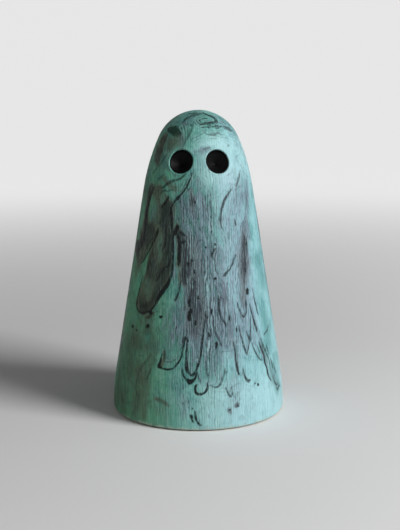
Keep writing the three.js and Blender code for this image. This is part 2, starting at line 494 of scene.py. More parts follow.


# Marbling: ink lines and washes, laid out on the front as (azimuth in degrees, height)

# Lines: points of (azimuth, height, half-width), and a strength
LINES = {
    "lobe_edge": ([(-29, 90, 0.21), (-28, 86, 0.41), (-26, 82, 0.51), (-24.6, 79, 0.57),
        (-24, 75, 0.41), (-23.4, 70, 0.41), (-23.5, 65, 0.41), (-24.5, 62, 0.57), (-26.4, 59.4, 0.81),
        (-29.4, 57, 1.02), (-33, 54.4, 0.96), (-35.6, 51.6, 0.61), (-38, 49.4, 0.41), (-41, 47.4, 0.31),
        (-45, 46.3, 0.31), (-50, 45.7, 0.35), (-55, 46.2, 0.35), (-58, 48, 0.41), (-58, 52, 0.35),
        (-57, 56, 0.21), (-55, 61, 0.1)], 1.0),
    "upper_lobe_left": ([(-53, 98, 0.2), (-56.4, 95, 0.6), (-60, 91, 0.8), (-62, 87.6, 1.0),
        (-61.6, 83, 0.95), (-60.6, 80, 0.7), (-60.8, 76.6, 0.6), (-63.6, 72.6, 0.6), (-70, 69.6, 0.6),
        (-78, 70.6, 0.5)], 0.95),
    "lobe_streak": ([(-33, 84, 0.1), (-32.4, 80, 0.35), (-32, 76, 0.4), (-33, 72, 0.1)], 0.6),
    "lobe_streak_right": ([(-28.6, 82, 0.1), (-28, 77, 0.35), (-28.4, 73, 0.2), (-30, 69, 0.1)], 0.5),
    "pocket_edge": ([(-26.4, 70, 0.1), (-26.2, 67.6, 0.45), (-28, 66, 0.4), (-31, 65.4, 0.1)], 0.8),
    "lobe_patch_line": ([(-30, 66, 0.1), (-33, 63.6, 0.5), (-35.4, 61.6, 0.6), (-38, 59, 0.15)], 0.6),
    "upper_dash": ([(-31.6, 94.6, 0.1), (-33.6, 92.8, 0.4), (-36, 91, 0.55), (-38.4, 89.8, 0.6),
        (-40.4, 88.6, 0.2)], 1.0),
    "lobe_divide": ([(-40.6, 81, 0.15), (-41.8, 79.4, 0.6), (-43.2, 77.2, 0.35), (-45.4, 75.2, 0.5),
        (-48.4, 72.4, 0.35), (-53, 69, 0.4), (-57, 66.4, 0.3), (-61, 65, 0.1)], 0.95),
    "knot_stem": ([(-20.6, 79.4, 0.17), (-19.6, 77.6, 0.51), (-18.6, 75.6, 0.64), (-18.2, 73, 0.59),
        (-18, 70.4, 0.81), (-17.8, 68.4, 0.68), (-18.4, 66.4, 0.26)], 1.0),
    "knot_right": ([(-19, 80.4, 0.5), (-16.4, 79.6, 0.5), (-14.2, 78.6, 0.4), (-12, 78.4, 0.1)], 0.85),
    "knot_right_low": ([(-18.4, 76, 0.5), (-15.6, 75.8, 0.5), (-13.6, 76, 0.25), (-12, 77, 0.1)], 0.9),
    "knot_top": ([(-24.8, 79, 0.3), (-23.4, 79.4, 1.0), (-21.8, 80.6, 0.6), (-20.8, 82, 0.8),
        (-20, 83.2, 0.2)], 1.0),
    "nose_to_cheek": ([(-8, 104, 0.08), (-9.4, 101.4, 0.22), (-11.4, 99.4, 0.3), (-14.4, 97.4, 0.3),
        (-17, 95.8, 0.26), (-20, 94.3, 0.34), (-22.4, 93.4, 0.71), (-24.6, 92.4, 0.45),
        (-26.6, 91, 0.22), (-28.6, 89, 0.22), (-29.6, 86, 0.08)], 1.0),
    "nose_branch": ([(-28.6, 89, 0.1), (-27.8, 86.6, 0.35), (-26.4, 83.4, 0.35), (-25.2, 81, 0.3),
        (-24, 79.6, 0.2)], 0.8),
    "eye_bag": ([(-42, 96.6, 0.2), (-37, 98.4, 0.5), (-32, 99.6, 0.6), (-27, 100.4, 0.5),
        (-22, 101, 0.4), (-18, 102, 0.35), (-14, 103.6, 0.15)], 0.8),
    "eye_bag_lower": ([(-44, 94, 0.1), (-39, 96, 0.35), (-34, 96, 0.35), (-29, 96.6, 0.2),
        (-24, 96, 0.1)], 0.6),
    "cheek_arc": ([(-56, 96, 0.15), (-52, 99, 0.35), (-46, 101, 0.4), (-41, 103, 0.2)], 0.55),
    "cheek_arc_high": ([(-62, 102, 0.1), (-54, 105, 0.35), (-47, 108, 0.4), (-42, 111, 0.1)], 0.5),
    "crescent": ([(-10.6, 39, 0.16), (-11, 37.6, 0.57), (-11.6, 35.6, 0.31), (-12.4, 32.4, 0.26),
        (-13.6, 29.8, 0.26), (-15.8, 27.4, 0.31), (-18.4, 25.6, 0.31), (-21.4, 24.9, 0.37),
        (-24.6, 24.7, 0.37), (-27.4, 25, 0.42), (-29.2, 25.7, 0.78), (-28.6, 27.2, 0.52),
        (-28, 29.4, 0.31), (-27.4, 31.4, 0.1)], 1.0),
    "crescent_inner": ([(-14.6, 31, 0.1), (-17.6, 28.9, 0.2), (-21.6, 27.8, 0.2),
        (-25.4, 27.9, 0.15)], 0.5),
    "crescent_wall": ([(-25.8, 33, 0.1), (-25.6, 31, 0.35), (-25.3, 28.8, 0.3),
        (-25.2, 27.4, 0.1)], 0.6),
    "long_drip": ([(-9.2, 41, 0.09), (-9.6, 36, 0.22), (-9.8, 31.4, 0.3), (-9.6, 28.6, 0.39),
        (-9.3, 26.4, 0.7), (-8.7, 24.9, 0.7), (-7.4, 23.8, 0.39), (-5.8, 23.1, 0.52),
        (-4.2, 23.6, 0.61), (-2.9, 25, 0.35), (-1.6, 26.8, 0.39), (-0.4, 29.4, 0.39), (0.8, 33, 0.3),
        (2, 37.6, 0.3), (3.2, 43, 0.26), (4.2, 49, 0.09)], 1.0),
    "long_drip_lip": ([(-12, 26, 0.11), (-11.8, 24, 0.22), (-10.8, 22.4, 0.38), (-9.6, 21.5, 0.55),
        (-8.2, 21, 0.77), (-6.8, 20.5, 1.27), (-5.2, 20.8, 0.77), (-3.6, 21.7, 0.5), (-2.6, 23.2, 0.33),
        (-1.8, 25, 0.11)], 1.0),
    "small_drip": ([(-1.6, 19.6, 0.1), (-3, 19, 0.35), (-3.5, 17.4, 0.49), (-2.6, 16, 0.49),
        (-0.4, 15.5, 0.43), (2.2, 15.9, 0.39), (4.2, 17.2, 0.49), (5, 19, 0.24),
        (4.4, 20.6, 0.1)], 1.0),
    "drip_neck": ([(-1.8, 24, 0.1), (-1, 21.8, 0.3), (0.2, 19.8, 0.15)], 0.7),
    "shallow_drip": ([(6, 19, 0.15), (8, 18.4, 0.3), (11, 18.1, 0.25), (13.4, 19.2, 0.4),
        (14.6, 21.2, 0.45), (16.4, 23, 0.3), (17.2, 26, 0.1)], 0.75),
    "foot_tick_left": ([(-6.2, 7.6, 0.3), (-5.8, 6.4, 0.6), (-5.2, 4.9, 0.4), (-4.7, 3.6, 0.1)], 1.0),
    "foot_tick_right": ([(-3.8, 9, 0.15), (-3.5, 7.6, 0.4), (-2.9, 5.6, 0.4), (-1.8, 3.8, 0.4),
        (-0.4, 3, 0.4), (1.4, 2.8, 0.15)], 1.0),
    "side_hook": ([(14.6, 55, 0.09), (14.4, 51, 0.3), (14.8, 48, 0.39), (16.2, 45.4, 0.35),
        (18.4, 43.6, 0.3), (20, 41.6, 0.13)], 0.9),
    "right_stroke": ([(24.4, 36, 0.09), (25, 32, 0.22), (25.4, 28, 0.39), (26.2, 24.6, 0.48),
        (27.2, 22.6, 0.39), (28.4, 22.4, 0.13)], 0.95),
    "right_cup_low": ([(30.4, 25, 0.1), (31, 22.4, 0.3), (32.2, 20.2, 0.5), (34.4, 19, 0.6),
        (36.6, 19.4, 0.3)], 0.9),
    "right_vee": ([(30, 42, 0.09), (31, 38, 0.26), (32.2, 35, 0.43), (33.6, 32, 0.43),
        (34.8, 29.8, 0.26), (36.4, 31.6, 0.17), (38, 34, 0.3), (39.4, 36, 0.43), (41, 40, 0.26),
        (42.4, 46, 0.09)], 0.9),
    "right_fork": ([(36.4, 39.6, 0.1), (38, 36.6, 0.4), (39.6, 35, 0.4), (41.4, 36.4, 0.15)], 0.8),
    "right_cup": ([(30, 52, 0.1), (31.6, 48.6, 0.4), (33.4, 46, 0.45), (35.4, 45, 0.4), (37.4, 46, 0.4),
        (38.6, 49, 0.45), (39, 52, 0.15)], 0.85),
    "right_slash": ([(42.6, 50, 0.09), (44, 45.6, 0.3), (45.6, 42, 0.43), (47, 39, 0.48),
        (48.2, 37.4, 0.17)], 0.95),
    "right_tail": ([(40.6, 34.6, 0.1), (42, 31.4, 0.3), (44.4, 28.4, 0.35), (47, 26.6, 0.4),
        (49, 25.8, 0.3)], 0.8),
    "right_cluster": ([(48, 34, 0.09), (49.6, 30.6, 0.35), (51.6, 28, 0.43), (53.4, 26, 0.17)], 0.9),
    "right_cluster_high": ([(50.6, 35, 0.09), (52, 31.6, 0.35), (54, 29.6, 0.35),
        (56, 28.8, 0.09)], 0.8),
    "right_long": ([(50.6, 30.4, 0.13), (51.8, 27.4, 0.35), (52, 24.6, 0.3), (53.6, 21.8, 0.48),
        (54.2, 19.4, 0.52), (56, 17, 0.39), (58, 15.8, 0.13)], 1.0),
    "right_long_fork": ([(54.6, 31, 0.1), (55.6, 28, 0.35), (57.8, 25.4, 0.3),
        (58.4, 22.6, 0.15)], 0.75),
    "scratch_a": ([(52.4, 33, 0.1), (53.6, 30.4, 0.35), (54.4, 28.4, 0.15)], 0.9),
    "scratch_b": ([(57, 31.6, 0.1), (58.4, 28.6, 0.4), (59.6, 26.6, 0.15)], 0.8),
    "scratch_c": ([(60.4, 26, 0.1), (61.6, 22.6, 0.45), (62.6, 20, 0.15)], 0.85),
    "scratch_d": ([(64, 23, 0.1), (65.4, 19.6, 0.4), (66.6, 17.6, 0.15)], 0.7),
    "scratch_e": ([(45.6, 33, 0.1), (46.8, 30.6, 0.35), (48.4, 28.8, 0.15)], 0.7),
    "lost_wisp": ([(2, 33, 0.1), (3.4, 29, 0.2), (4.4, 25, 0.25), (4.6, 21.6, 0.1)], 0.5),
    "veil_wisp": ([(9.6, 46, 0.1), (10.6, 41, 0.3), (13, 37.6, 0.4), (15.4, 34, 0.2)], 0.7),
    "right_ragged": ([(60, 18, 0.15), (62.4, 14.6, 0.5), (65, 13, 0.45), (68, 13.8, 0.2)], 0.8),
    "right_ragged_low": ([(63, 12.6, 0.15), (66, 11, 0.5), (70, 11.8, 0.4), (74, 10.6, 0.15)], 0.8),
    "right_high": ([(47.6, 56, 0.1), (48.8, 51, 0.35), (50, 47, 0.45), (51.4, 44, 0.2)], 0.85),
    "side_branch": ([(55, 35.4, 0.1), (58.4, 36.3, 0.35), (62, 37, 0.35), (66, 38.6, 0.1)], 0.8),
    "cheek_outline": ([(36, 97, 0.1), (32, 95.6, 0.25), (28.4, 94, 0.4), (25, 91.8, 0.5),
        (22, 89.2, 0.5), (20, 86.6, 0.4), (19.6, 84, 0.2), (21.4, 81, 0.1)], 0.9),
    "temple_stroke": ([(53, 104, 0.15), (49, 101.8, 0.4), (45, 99.4, 0.4), (41, 97.2, 0.15)], 0.7),
    "jaw_line": ([(19, 62, 0.3), (21, 62.8, 0.6), (24, 64, 0.4), (26.6, 65.4, 0.25), (28.8, 66.8, 0.4),
        (30.4, 68.4, 0.25), (32, 69.6, 0.35), (33.6, 71, 0.1)], 0.85),
    "centre_hook": ([(10, 69.6, 0.15), (10.8, 71.6, 0.5), (12.6, 72.8, 0.4), (14.8, 73.8, 0.15)], 0.95),
    "left_hook": ([(-15.6, 61, 0.1), (-16.6, 57.6, 0.4), (-18, 54.4, 0.4), (-19.6, 52.8, 0.6),
        (-21, 53.6, 0.2)], 0.95),
    "tail_loop_left": ([(16.6, 18, 0.1), (18, 15.6, 0.3), (19.8, 13.9, 0.4), (21.4, 15, 0.3),
        (21.2, 17.8, 0.1)], 0.75),
    "tail_loop_right": ([(20.6, 15.4, 0.1), (22.4, 13.8, 0.25), (23.8, 12.6, 0.1)], 0.45),
    "low_curl": ([(-36, 30, 0.1), (-40, 27, 0.5), (-43.6, 24, 0.6), (-46, 20.6, 0.6), (-47.6, 17, 0.6),
        (-46.8, 13.6, 0.4), (-43, 11, 0.1)], 0.3),
    "low_smear": ([(-31, 11.8, 0.2), (-27, 11.9, 0.9), (-23.4, 11, 0.8), (-20, 9.6, 0.2)], 0.26),
    "low_wisp": ([(-35.6, 25, 0.1), (-35.8, 23, 0.5), (-37, 21, 0.3), (-39, 19, 0.1)], 0.5),
    "crown_loop": ([(16, 127.3, 0.14), (23, 126.6, 0.46), (32, 125.9, 0.37), (39, 125, 0.46),
        (41, 124.2, 0.46), (35, 123.4, 0.46), (26, 123.1, 0.46), (11, 122.8, 0.37),
        (0, 122.5, 0.14)], 0.95),
    "crown_inner": ([(8, 124.5, 0.15), (13, 124.8, 0.37), (18, 124.8, 0.22), (22, 125.2, 0.07)], 0.9),
    "crown_low_loop": ([(46, 121.6, 0.12), (40, 121.5, 0.32), (33, 121.8, 0.44), (27, 121.5, 0.24),
        (14, 121.6, 0.17), (2, 121.4, 0.08)], 0.8),
    "crown_purple": ([(44, 121.6, 0.1), (52, 121, 0.5), (62, 120.2, 0.5), (70, 119.4, 0.15)], 0.6),
    "crown_left_arc": ([(-33, 122.6, 0.13), (-30.6, 124.2, 0.43), (-26, 125.4, 0.43), (-12, 126, 0.35),
        (4, 126.2, 0.09)], 0.8),
    "crown_left_dot": ([(-16, 123, 0.2), (-13, 122.2, 0.5), (-10, 121.9, 0.15)], 0.7),
    "crown_left_edge": ([(-10, 124, 0.1), (-11, 121.6, 0.35), (-12.6, 119.2, 0.4), (-16, 117.6, 0.3),
        (-19.4, 115.6, 0.3), (-21, 113.4, 0.1)], 0.5),
    "crown_blob": ([(-40, 126.6, 0.2), (-10, 126.6, 0.6), (14, 126.6, 0.3)], 0.75),
    "brow_arc": ([(9, 118.7, 0.15), (16, 118.4, 0.3), (24, 118.6, 0.3), (30, 119.3, 0.35),
        (36, 119, 0.1)], 0.55),
    "brow_dash": ([(4, 112.8, 0.1), (7, 113, 0.4), (11, 113.4, 0.35), (15, 113.5, 0.1)], 0.55),
    "temple_dash": ([(39, 113.6, 0.1), (42, 113.9, 0.4), (45, 114.2, 0.1)], 0.5),
}

# Swirls: soft ink lines run in parallel along each of these
SWIRLS = {
    "crown_hook": ([(-20, 113.5), (-22, 117), (-26, 120.4), (-31, 123), (-29, 125.2), (-14, 126.5),
        (12, 127), (32, 126.2), (42, 124.9), (38, 123.7), (26, 123), (12, 122.8), (2, 123.4),
        (0, 124.5), (10, 125.2), (22, 124.9)], 1.0),
    "crown_right_arcs": ([(28, 127.3), (44, 126.2), (56, 124.2), (66, 121.6), (74, 118)], 0.95),
    "crown_left_arcs": ([(-64, 121.4), (-48, 124.2), (-26, 126), (0, 126.9)], 0.8),
    "crown_sweep": ([(-6, 120.6), (6, 121.4), (20, 121.5), (34, 121.4), (46, 121.2), (58, 120.3),
        (72, 118.6), (84, 116)], 0.9),
    "brow_sweep": ([(-10, 113.4), (-8, 116), (2, 118), (14, 118.8), (28, 118.7), (44, 117.2),
        (58, 114.6), (70, 111)], 0.55),
    "temple_left": ([(-40, 108), (-46, 112), (-52, 115.6), (-60, 117.4), (-72, 117)], 0.8),
    "temple_low": ([(-38, 101), (-46, 103), (-54, 107), (-64, 109.6), (-78, 109)], 0.6),
    "nose_bundle": ([(-7, 107), (-10, 102), (-15, 97.6), (-21, 93.6), (-27, 88.6), (-32, 82), (-36, 74),
        (-40, 65), (-44, 56)], 1.0),
    "upper_bundle": ([(-30, 95), (-38, 91), (-46, 85), (-53, 77), (-60, 70)], 0.7),
    "cheek_smear": ([(-22, 91), (-20.4, 86), (-15, 83.6), (-9, 84.6), (-5, 88), (-3.6, 93)], 0.8),
    "knot_smear": ([(-16, 80), (-11, 76.4), (-7, 71), (-5, 65), (-6, 59)], 0.8),
    "right_cheek": ([(44, 102), (38, 96), (33, 88), (30, 78), (29, 68)], 0.35),
    "foot_flow": ([(-66, 44), (-55, 37), (-46, 32), (-40, 25), (-37, 16), (-39, 8)], 0.5),
    "bowl_flow": ([(-38, 44), (-32, 40), (-26, 36), (-20, 31), (-14, 27)], 0.45),
}

SIDE_SWIRLS = {
    "right_flow": ([(78, 101), (85, 88), (90, 74), (86, 60), (90, 46), (87, 34)], 0.7),
    "right_flow_back": ([(106, 96), (100, 82), (106, 66), (113, 52), (110, 38)], 0.6),
    "left_flow": ([(282, 98), (274, 84), (270, 68), (275, 52), (270, 36)], 0.7),
    "left_flow_back": ([(252, 100), (258, 84), (252, 68), (245, 52), (250, 34)], 0.6),
}

# Thick dots of ink: azimuth, height, half-width, half-height
DOTS = [
    (-8.2, 46.6, 0.8, 2.1), (-7.2, 48.6, 0.7, 1.4), (-8.3, 52.2, 0.55, 1.9), (-3.5, 44, 0.5, 1.2),
    (-40.4, 46.6, 1.0, 0.8), (-31, 45.6, 1.0, 0.5), (-41.6, 41.2, 1.2, 0.6), (-43.6, 40.4, 0.9, 0.4),
    (-60, 39, 1.1, 0.6), (-54, 38.2, 0.7, 0.4), (11.6, 35, 0.6, 1.4), (8.6, 48.2, 0.5, 1.2),
    (41.6, 55, 0.9, 1.3), (25.4, 9.6, 0.5, 0.3), (19.2, 8.6, 0.4, 0.4), (39.6, 17.6, 0.6, 0.5),
    (42.6, 16.6, 0.7, 0.6), (-6.4, 68.8, 0.5, 0.6), (-9.8, 67.4, 0.45, 0.8), (-4.6, 64.4, 0.3, 0.6),
    (-4.2, 92.4, 0.25, 0.6), (12.4, 61.6, 0.7, 0.6), (5, 74, 0.4, 0.7), (13.4, 75, 0.6, 0.6),
    (-5, 9.7, 0.5, 0.5), (47, 74.6, 0.5, 1.4), (41.6, 63.4, 0.4, 1.2), (-1.2, 54, 0.6, 0.9),
    (6.4, 39, 0.35, 1.4), (22.6, 45.4, 0.4, 1.0), (28, 40.4, 0.4, 0.9), (36, 83, 0.3, 1.2),
    (10.6, 86, 0.4, 0.5),
]

# Washes: an outline of (azimuth, height), how soft its edge is in mm, and its strength
GREY_PATCHES = {
    "veil": ([(-17, 94), (-18, 88), (-17, 83), (-15, 78), (-16, 70), (-16.5, 64), (-13.6, 58),
        (-16.6, 53), (-14, 48), (-15, 43), (-19, 38.4), (-20, 34), (-15, 30), (-10.6, 33), (-9.8, 27),
        (-6, 23.6), (-2, 26), (-1, 21), (3, 19.4), (8, 19), (12, 20.5), (16, 23.6), (19, 30),
        (23.6, 29), (26.5, 23.5), (28.6, 33), (30, 44), (27, 56), (22, 66), (18, 76), (15, 86),
        (10, 94), (4, 99), (-3, 101), (-8, 98), (-13, 96)], 5.4, 0.86),
    "veil_core": ([(-16, 82), (-17, 72), (-14, 63), (-11, 52), (-9, 46), (-6, 40), (-1, 33), (3, 29),
        (6, 33), (9, 44), (13, 55), (12, 66), (7, 76), (-2, 80), (-8, 84)], 5.0, 1.0),
    "cheek_veil": ([(14, 92), (24, 87), (34, 94), (45, 100.5), (58, 103), (59, 90), (55, 79), (51, 66),
        (47.6, 52), (45, 43), (47.6, 34), (44.6, 27), (40, 34), (35.6, 29), (31, 38), (27.6, 27),
        (24, 34), (21, 50), (16, 64)], 4.4, 0.44),
    "dark_band": ([(54, 86), (50, 77), (49, 71), (46, 66), (42.4, 61), (39.6, 56), (38, 50),
        (33.4, 49.6), (32.6, 57), (34, 63), (36.4, 69), (39.6, 76), (44, 84)], 2.6, 1.0),
    "temple_band": ([(62, 100), (55, 95), (50, 89), (45, 82), (42, 76), (51, 75), (57, 84),
        (62, 92)], 2.8, 0.82),
    "jaw_veil": ([(14, 24), (18, 27), (24, 24), (30, 26), (34, 20), (28, 12), (22, 9),
        (17, 14)], 3.0, 0.42),
    "long_drip_bowl": ([(-9.6, 36), (-9.8, 29), (-8.4, 26), (-6, 24.4), (-3, 25), (-0.6, 27.8),
        (0.6, 32), (1.6, 38), (-2, 40), (-6, 40)], 0.8, 0.4),
    "low_veil": ([(-25, 44), (-20, 50), (-13, 54), (-8, 44), (-12, 33), (-18, 31),
        (-27, 35)], 4.0, 0.62),
    "foot_haze": ([(-24, 20), (-8, 18), (-7, 8), (-12, 4), (-24, 6)], 5.0, 0.3),
    "low_wisps": ([(-30, 42), (-25, 47), (-19, 50), (-18, 46), (-24, 41), (-29, 38)], 2.4, 0.4),
    "crown_grey": ([(-34, 122.4), (-30, 125.4), (0, 127.2), (20, 127), (2, 125), (-8, 123),
        (-13, 120.6), (-22, 121)], 1.2, 0.42),
    "crown_purple": ([(44, 121.8), (56, 121.6), (68, 120.4), (66, 119), (54, 119.8),
        (45, 120.6)], 0.8, 0.5),
    "crown_shade": ([(-30, 124.6), (20, 126.2), (70, 125), (50, 122.6), (20, 121.6),
        (-4, 121.8)], 1.2, 0.28),
    "brow_veil": ([(-8, 110.6), (0, 111), (12, 111.6), (18, 113), (2, 113.6), (-6, 112.6)], 1.2, 0.56),
    "gap_strip": ([(-25, 80), (-20.6, 79), (-20, 66), (-22.4, 61)], 1.4, 0.72),
    "cheek_smoke": ([(-26, 93), (-17, 94.6), (-8, 91), (-7, 83), (-13, 78), (-20, 79),
        (-25, 84)], 2.8, 0.78),
    "right_drip": ([(41.6, 44), (43.6, 49), (46, 46), (48.6, 39.6), (50.6, 34), (54, 26), (57, 18),
        (60, 14), (55.6, 16), (52.6, 21), (50, 28), (47, 35), (44, 40)], 0.8, 0.5),
    "drip_bowl": ([(-10.4, 38), (-12, 34), (-14, 31), (-17, 28), (-20.4, 26), (-25, 25.6),
        (-28.6, 26.4), (-27.6, 29.6), (-24, 32), (-19, 34), (-15, 38)], 1.0, 0.34),
}
DARK_PATCHES = {
    "lobe": ([(-28, 91), (-24.6, 80), (-23.2, 70), (-24, 63.4), (-27.4, 58.6), (-33, 53.8), (-38, 49.2),
        (-43, 46.4), (-49, 45.2), (-54.6, 45.8), (-57.2, 49.4), (-56, 56), (-52.4, 62), (-50, 69),
        (-46, 75.4), (-40, 81), (-34, 87)], 0.9, 0.74),
    "lobe_shadow": ([(-24, 70), (-25, 63), (-29, 58.4), (-34, 54), (-38, 51), (-36.6, 55), (-33, 60),
        (-29, 64), (-26.4, 72), (-25.4, 77)], 1.6, 0.98),
    "lobe_heart": ([(-40, 63), (-33, 67), (-28, 66), (-27, 62), (-31, 57.6), (-36, 55.6)], 1.8, 1.0),
    "lobe_left": ([(-56, 56), (-50, 58), (-45, 52), (-42, 48.6), (-50, 46.6), (-57, 48)], 2.0, 0.96),
    "lobe_top": ([(-42, 84), (-35, 92), (-27, 92), (-25.6, 86), (-26, 78), (-29, 70), (-34, 74),
        (-37, 80)], 2.0, 0.95),
    "upper_lobe": ([(-62, 99), (-56, 97.6), (-49, 99), (-43, 98), (-39, 95.4), (-33, 94.4), (-25, 91),
        (-27, 86), (-36, 81), (-42, 77), (-48, 73), (-54, 69), (-60, 65.6), (-67, 64), (-72, 69),
        (-68, 80), (-62.6, 88)], 1.6, 0.7),
    "upper_lobe_edge": ([(-60, 80), (-56, 70), (-48, 74), (-40, 80), (-34, 85), (-38, 89), (-46, 84),
        (-53, 84)], 2.0, 0.95),
    "far_left": ([(-57, 98), (-55.6, 93), (-58, 88), (-57.6, 82), (-57, 76), (-62, 71.6), (-72, 68),
        (-82, 70), (-80, 73), (-68, 75), (-64, 80), (-66, 87), (-66, 93), (-63, 98)], 1.4, 0.96),
    "temple_dark": ([(-66, 118), (-56, 118.4), (-51, 116), (-52, 111), (-55, 106), (-66, 108),
        (-70, 114)], 1.6, 0.8),
    "brow_left": ([(-50, 117.4), (-38, 117.6), (-22, 119), (-18, 117), (-19, 112), (-30, 112.6),
        (-46, 112.6)], 2.0, 0.44),
    "knot": ([(-25, 79.4), (-22.4, 82.6), (-20, 83), (-18, 81), (-13.6, 79.6), (-10.6, 78),
        (-12.6, 75.6), (-15.6, 74.6), (-16.4, 70), (-17, 66), (-19.4, 66.4), (-20, 74), (-21, 78),
        (-24, 78)], 1.2, 0.95),
    "knot_low": ([(-18, 78), (-12, 77), (-9, 74), (-6, 71), (-6, 66), (-8, 62.6), (-12, 59), (-16, 61),
        (-17.4, 67)], 2.2, 1.0),
    "band_heart": ([(45.6, 80), (49, 75), (48, 69), (44.6, 63), (41, 58), (38.4, 52), (35, 53),
        (35, 61), (37, 69), (40.6, 76)], 3.2, 0.84),
    "temple_heart": ([(58, 96), (53, 91), (49, 86), (46, 79), (53, 78), (57, 86), (60, 92)], 2.4, 0.3),
    "centre_smoke": ([(-10, 60), (-2, 63), (3, 57), (3, 46), (-1, 38), (-9, 41), (-10, 50)], 3.6, 0.8),
    "high_smoke": ([(-11, 76), (-3, 77), (2, 73), (4, 63), (2, 56), (-4, 56), (-8, 62),
        (-12, 68)], 5.0, 0.6),
    "nose_smudge": ([(-11, 92), (-9.4, 97.6), (-6, 97.6), (-4.6, 94), (-7, 91)], 1.3, 0.8),
    "foot_blot": ([(22.8, 9.6), (24.6, 10.8), (26.4, 9.8), (24.8, 8.8)], 0.9, 0.8),
    "foot_blot_left": ([(17.6, 8), (19.2, 9.6), (21, 8), (19.6, 6.2)], 0.9, 0.66),
    "right_scribble": ([(49, 32), (54, 31), (60, 22), (66, 14), (62, 13), (56, 20),
        (51, 27)], 1.6, 0.34),
    "bowl_tip": ([(-28.8, 26), (-27.6, 30), (-26.4, 32.6), (-24.6, 32), (-24.8, 28.6),
        (-26, 26.4)], 0.9, 0.66),
    "foot_brown": ([(-31, 10.6), (-31, 12.6), (-26, 12.8), (-21.6, 11.8), (-19.6, 9.8), (-21, 8.8),
        (-25, 10.2)], 1.0, 0.44),
    "curl_brown": ([(-36, 30), (-42, 27), (-46.6, 22), (-49, 16), (-46, 11), (-44, 12.6), (-45.6, 17),
        (-43, 23), (-38, 27)], 1.8, 0.4),
    "low_brown": ([(-53, 25), (-46, 27), (-38, 20), (-36, 9), (-42, 3), (-53, 3)], 8.0, 0.5),
    "low_left": ([(-50, 32), (-48, 22), (-50, 12), (-46, 5), (-60, 3), (-78, 8), (-80, 26),
        (-66, 36)], 7.0, 0.4),
    "brown_side": ([(-64, 40), (-50, 40), (-42, 36), (-42, 29), (-54, 28), (-66, 31)], 5.0, 0.46),
    "left_wisps": ([(-40, 47), (-36, 47.4), (-38.6, 44.6), (-43.6, 43), (-46, 44)], 0.8, 0.6),
    "nose_shade": ([(-9, 98), (-6, 99), (-3.4, 96), (-3.6, 90), (-7, 86), (-10.4, 90)], 1.6, 0.42),
    "under_bag": ([(-46, 101), (-38, 98.6), (-28, 96), (-20, 95.6), (-14, 98), (-20, 97), (-30, 99.4),
        (-39, 101.4)], 1.4, 0.48),
}
GREEN_PATCHES = {
    "crown_blotch": ([(-60, 120.8), (-52, 121.9), (-43, 121.7), (-36, 120.4), (-29, 118.8),
        (-30, 117.2), (-39, 117.1), (-46, 117.9), (-54, 118.7)], 0.9, 1.0),
    "clean_strip": ([(-24, 66), (-21, 62), (-19, 55), (-22, 49), (-24, 42), (-29, 34), (-34, 38),
        (-38, 46), (-33, 51), (-27, 57)], 4.2, 0.3),
    "left_pocket": ([(-62, 62), (-57, 60), (-58, 54), (-62, 50), (-66, 56)], 1.8, 0.4),
    "teal_patch": ([(55, 53), (62, 52), (68, 42), (66, 28), (58, 26), (54, 36), (52, 44)], 4.6, 0.48),
    "teal_high": ([(55, 66), (60, 71), (72, 69), (72, 55), (61, 53), (56, 58)], 4.0, 0.42),
    "teal_foot": ([(56, 24), (66, 22), (72, 12), (64, 8), (58, 14)], 2.4, 0.5),
    "under_eye": ([(-38, 104), (-30, 101.6), (-20, 102), (-14, 105), (-18, 101), (-28, 100.6),
        (-38, 102)], 0.9, 0.8),
    "inner_pocket": ([(-28.6, 72), (-26.4, 70), (-26, 67.4), (-28.4, 67.6), (-33, 66),
        (-30.6, 70)], 0.6, 0.6),
}

# Islands of cleaner paint inside the dark lobes
ISLANDS = [
    ([(-59, 93), (-52, 93.6), (-46, 91), (-47, 86), (-53, 83), (-58.6, 85)], 1.6, 0.62),
    ([(-44, 94), (-38, 95), (-34, 92), (-38, 89.6), (-43, 90.6)], 1.2, 0.45),
    ([(-49, 88), (-43, 89), (-39, 85), (-42, 80), (-48, 81)], 1.4, 0.42),
    ([(-40, 79), (-36, 79), (-33, 73), (-35, 68), (-39, 70), (-41, 75)], 1.4, 0.5),
    ([(-52, 60), (-46, 61), (-41, 56), (-44, 50.6), (-50, 49.6), (-54, 53)], 1.4, 0.42),
]


def eased(before, start, end, after, share):
    """A place on a smooth curve through marks, a share of the way from one to the next."""
    return 0.5 * (
        2 * start + (end - before) * share
        + (2 * before - 5 * start + 4 * end - after) * share**2
        + (3 * start - before - 3 * end + after) * share**3
    )


def smooth_line(points):
    """A curve through given points: its points on the surface, and the half-width at each."""
    marks = np.array([(deg(azimuth), height, width) for azimuth, height, width in points])
    padded = np.vstack([2 * marks[0] - marks[1], marks, 2 * marks[-1] - marks[-2]])
    curve = [
        eased(*four, share)
        for four in zip(padded, padded[1:], padded[2:], padded[3:])
        for share in np.linspace(0, 1, 8, endpoint=False)
    ]
    curve = np.array([*curve, marks[-1]])
    heights = np.clip(curve[:, 1], SOLE + 0.1, TOP - 0.05)
    return on_body(curve[:, 0], heights), np.maximum(curve[:, 2], 0.06)


# The back: turn and stretch of the front's azimuths there, lift and stretch of its heights
BACK_TURN = 9
BACK_WIDTH = 0.96
BACK_LIFT = 2
BACK_HEIGHT = 0.955


def turned(marks):
    """Marks laid out at the front, drawn again for the back: narrower, lower and further round."""
    return [
        (BACK_TURN + BACK_WIDTH * azimuth, BACK_LIFT + BACK_HEIGHT * height, *rest)
        for azimuth, height, *rest in marks
    ]


def behind(lines):
    """Front lines drawn again round the back."""
    return {
        "back_" + name: ([(180 + azimuth, *rest) for azimuth, *rest in turned(marks)], strength)
        for name, (marks, strength) in lines.items()
    }


# The two sides: middle azimuth, turn and stretch of azimuths there, lift and stretch of heights
SIDES = ((98, 0.84, 22, 0.8), (262, -0.84, 9, 0.88))
SIDE_REACH = 25
FRONT_MIDDLE = 3
HIGHEST_SIDE_LINE = 96

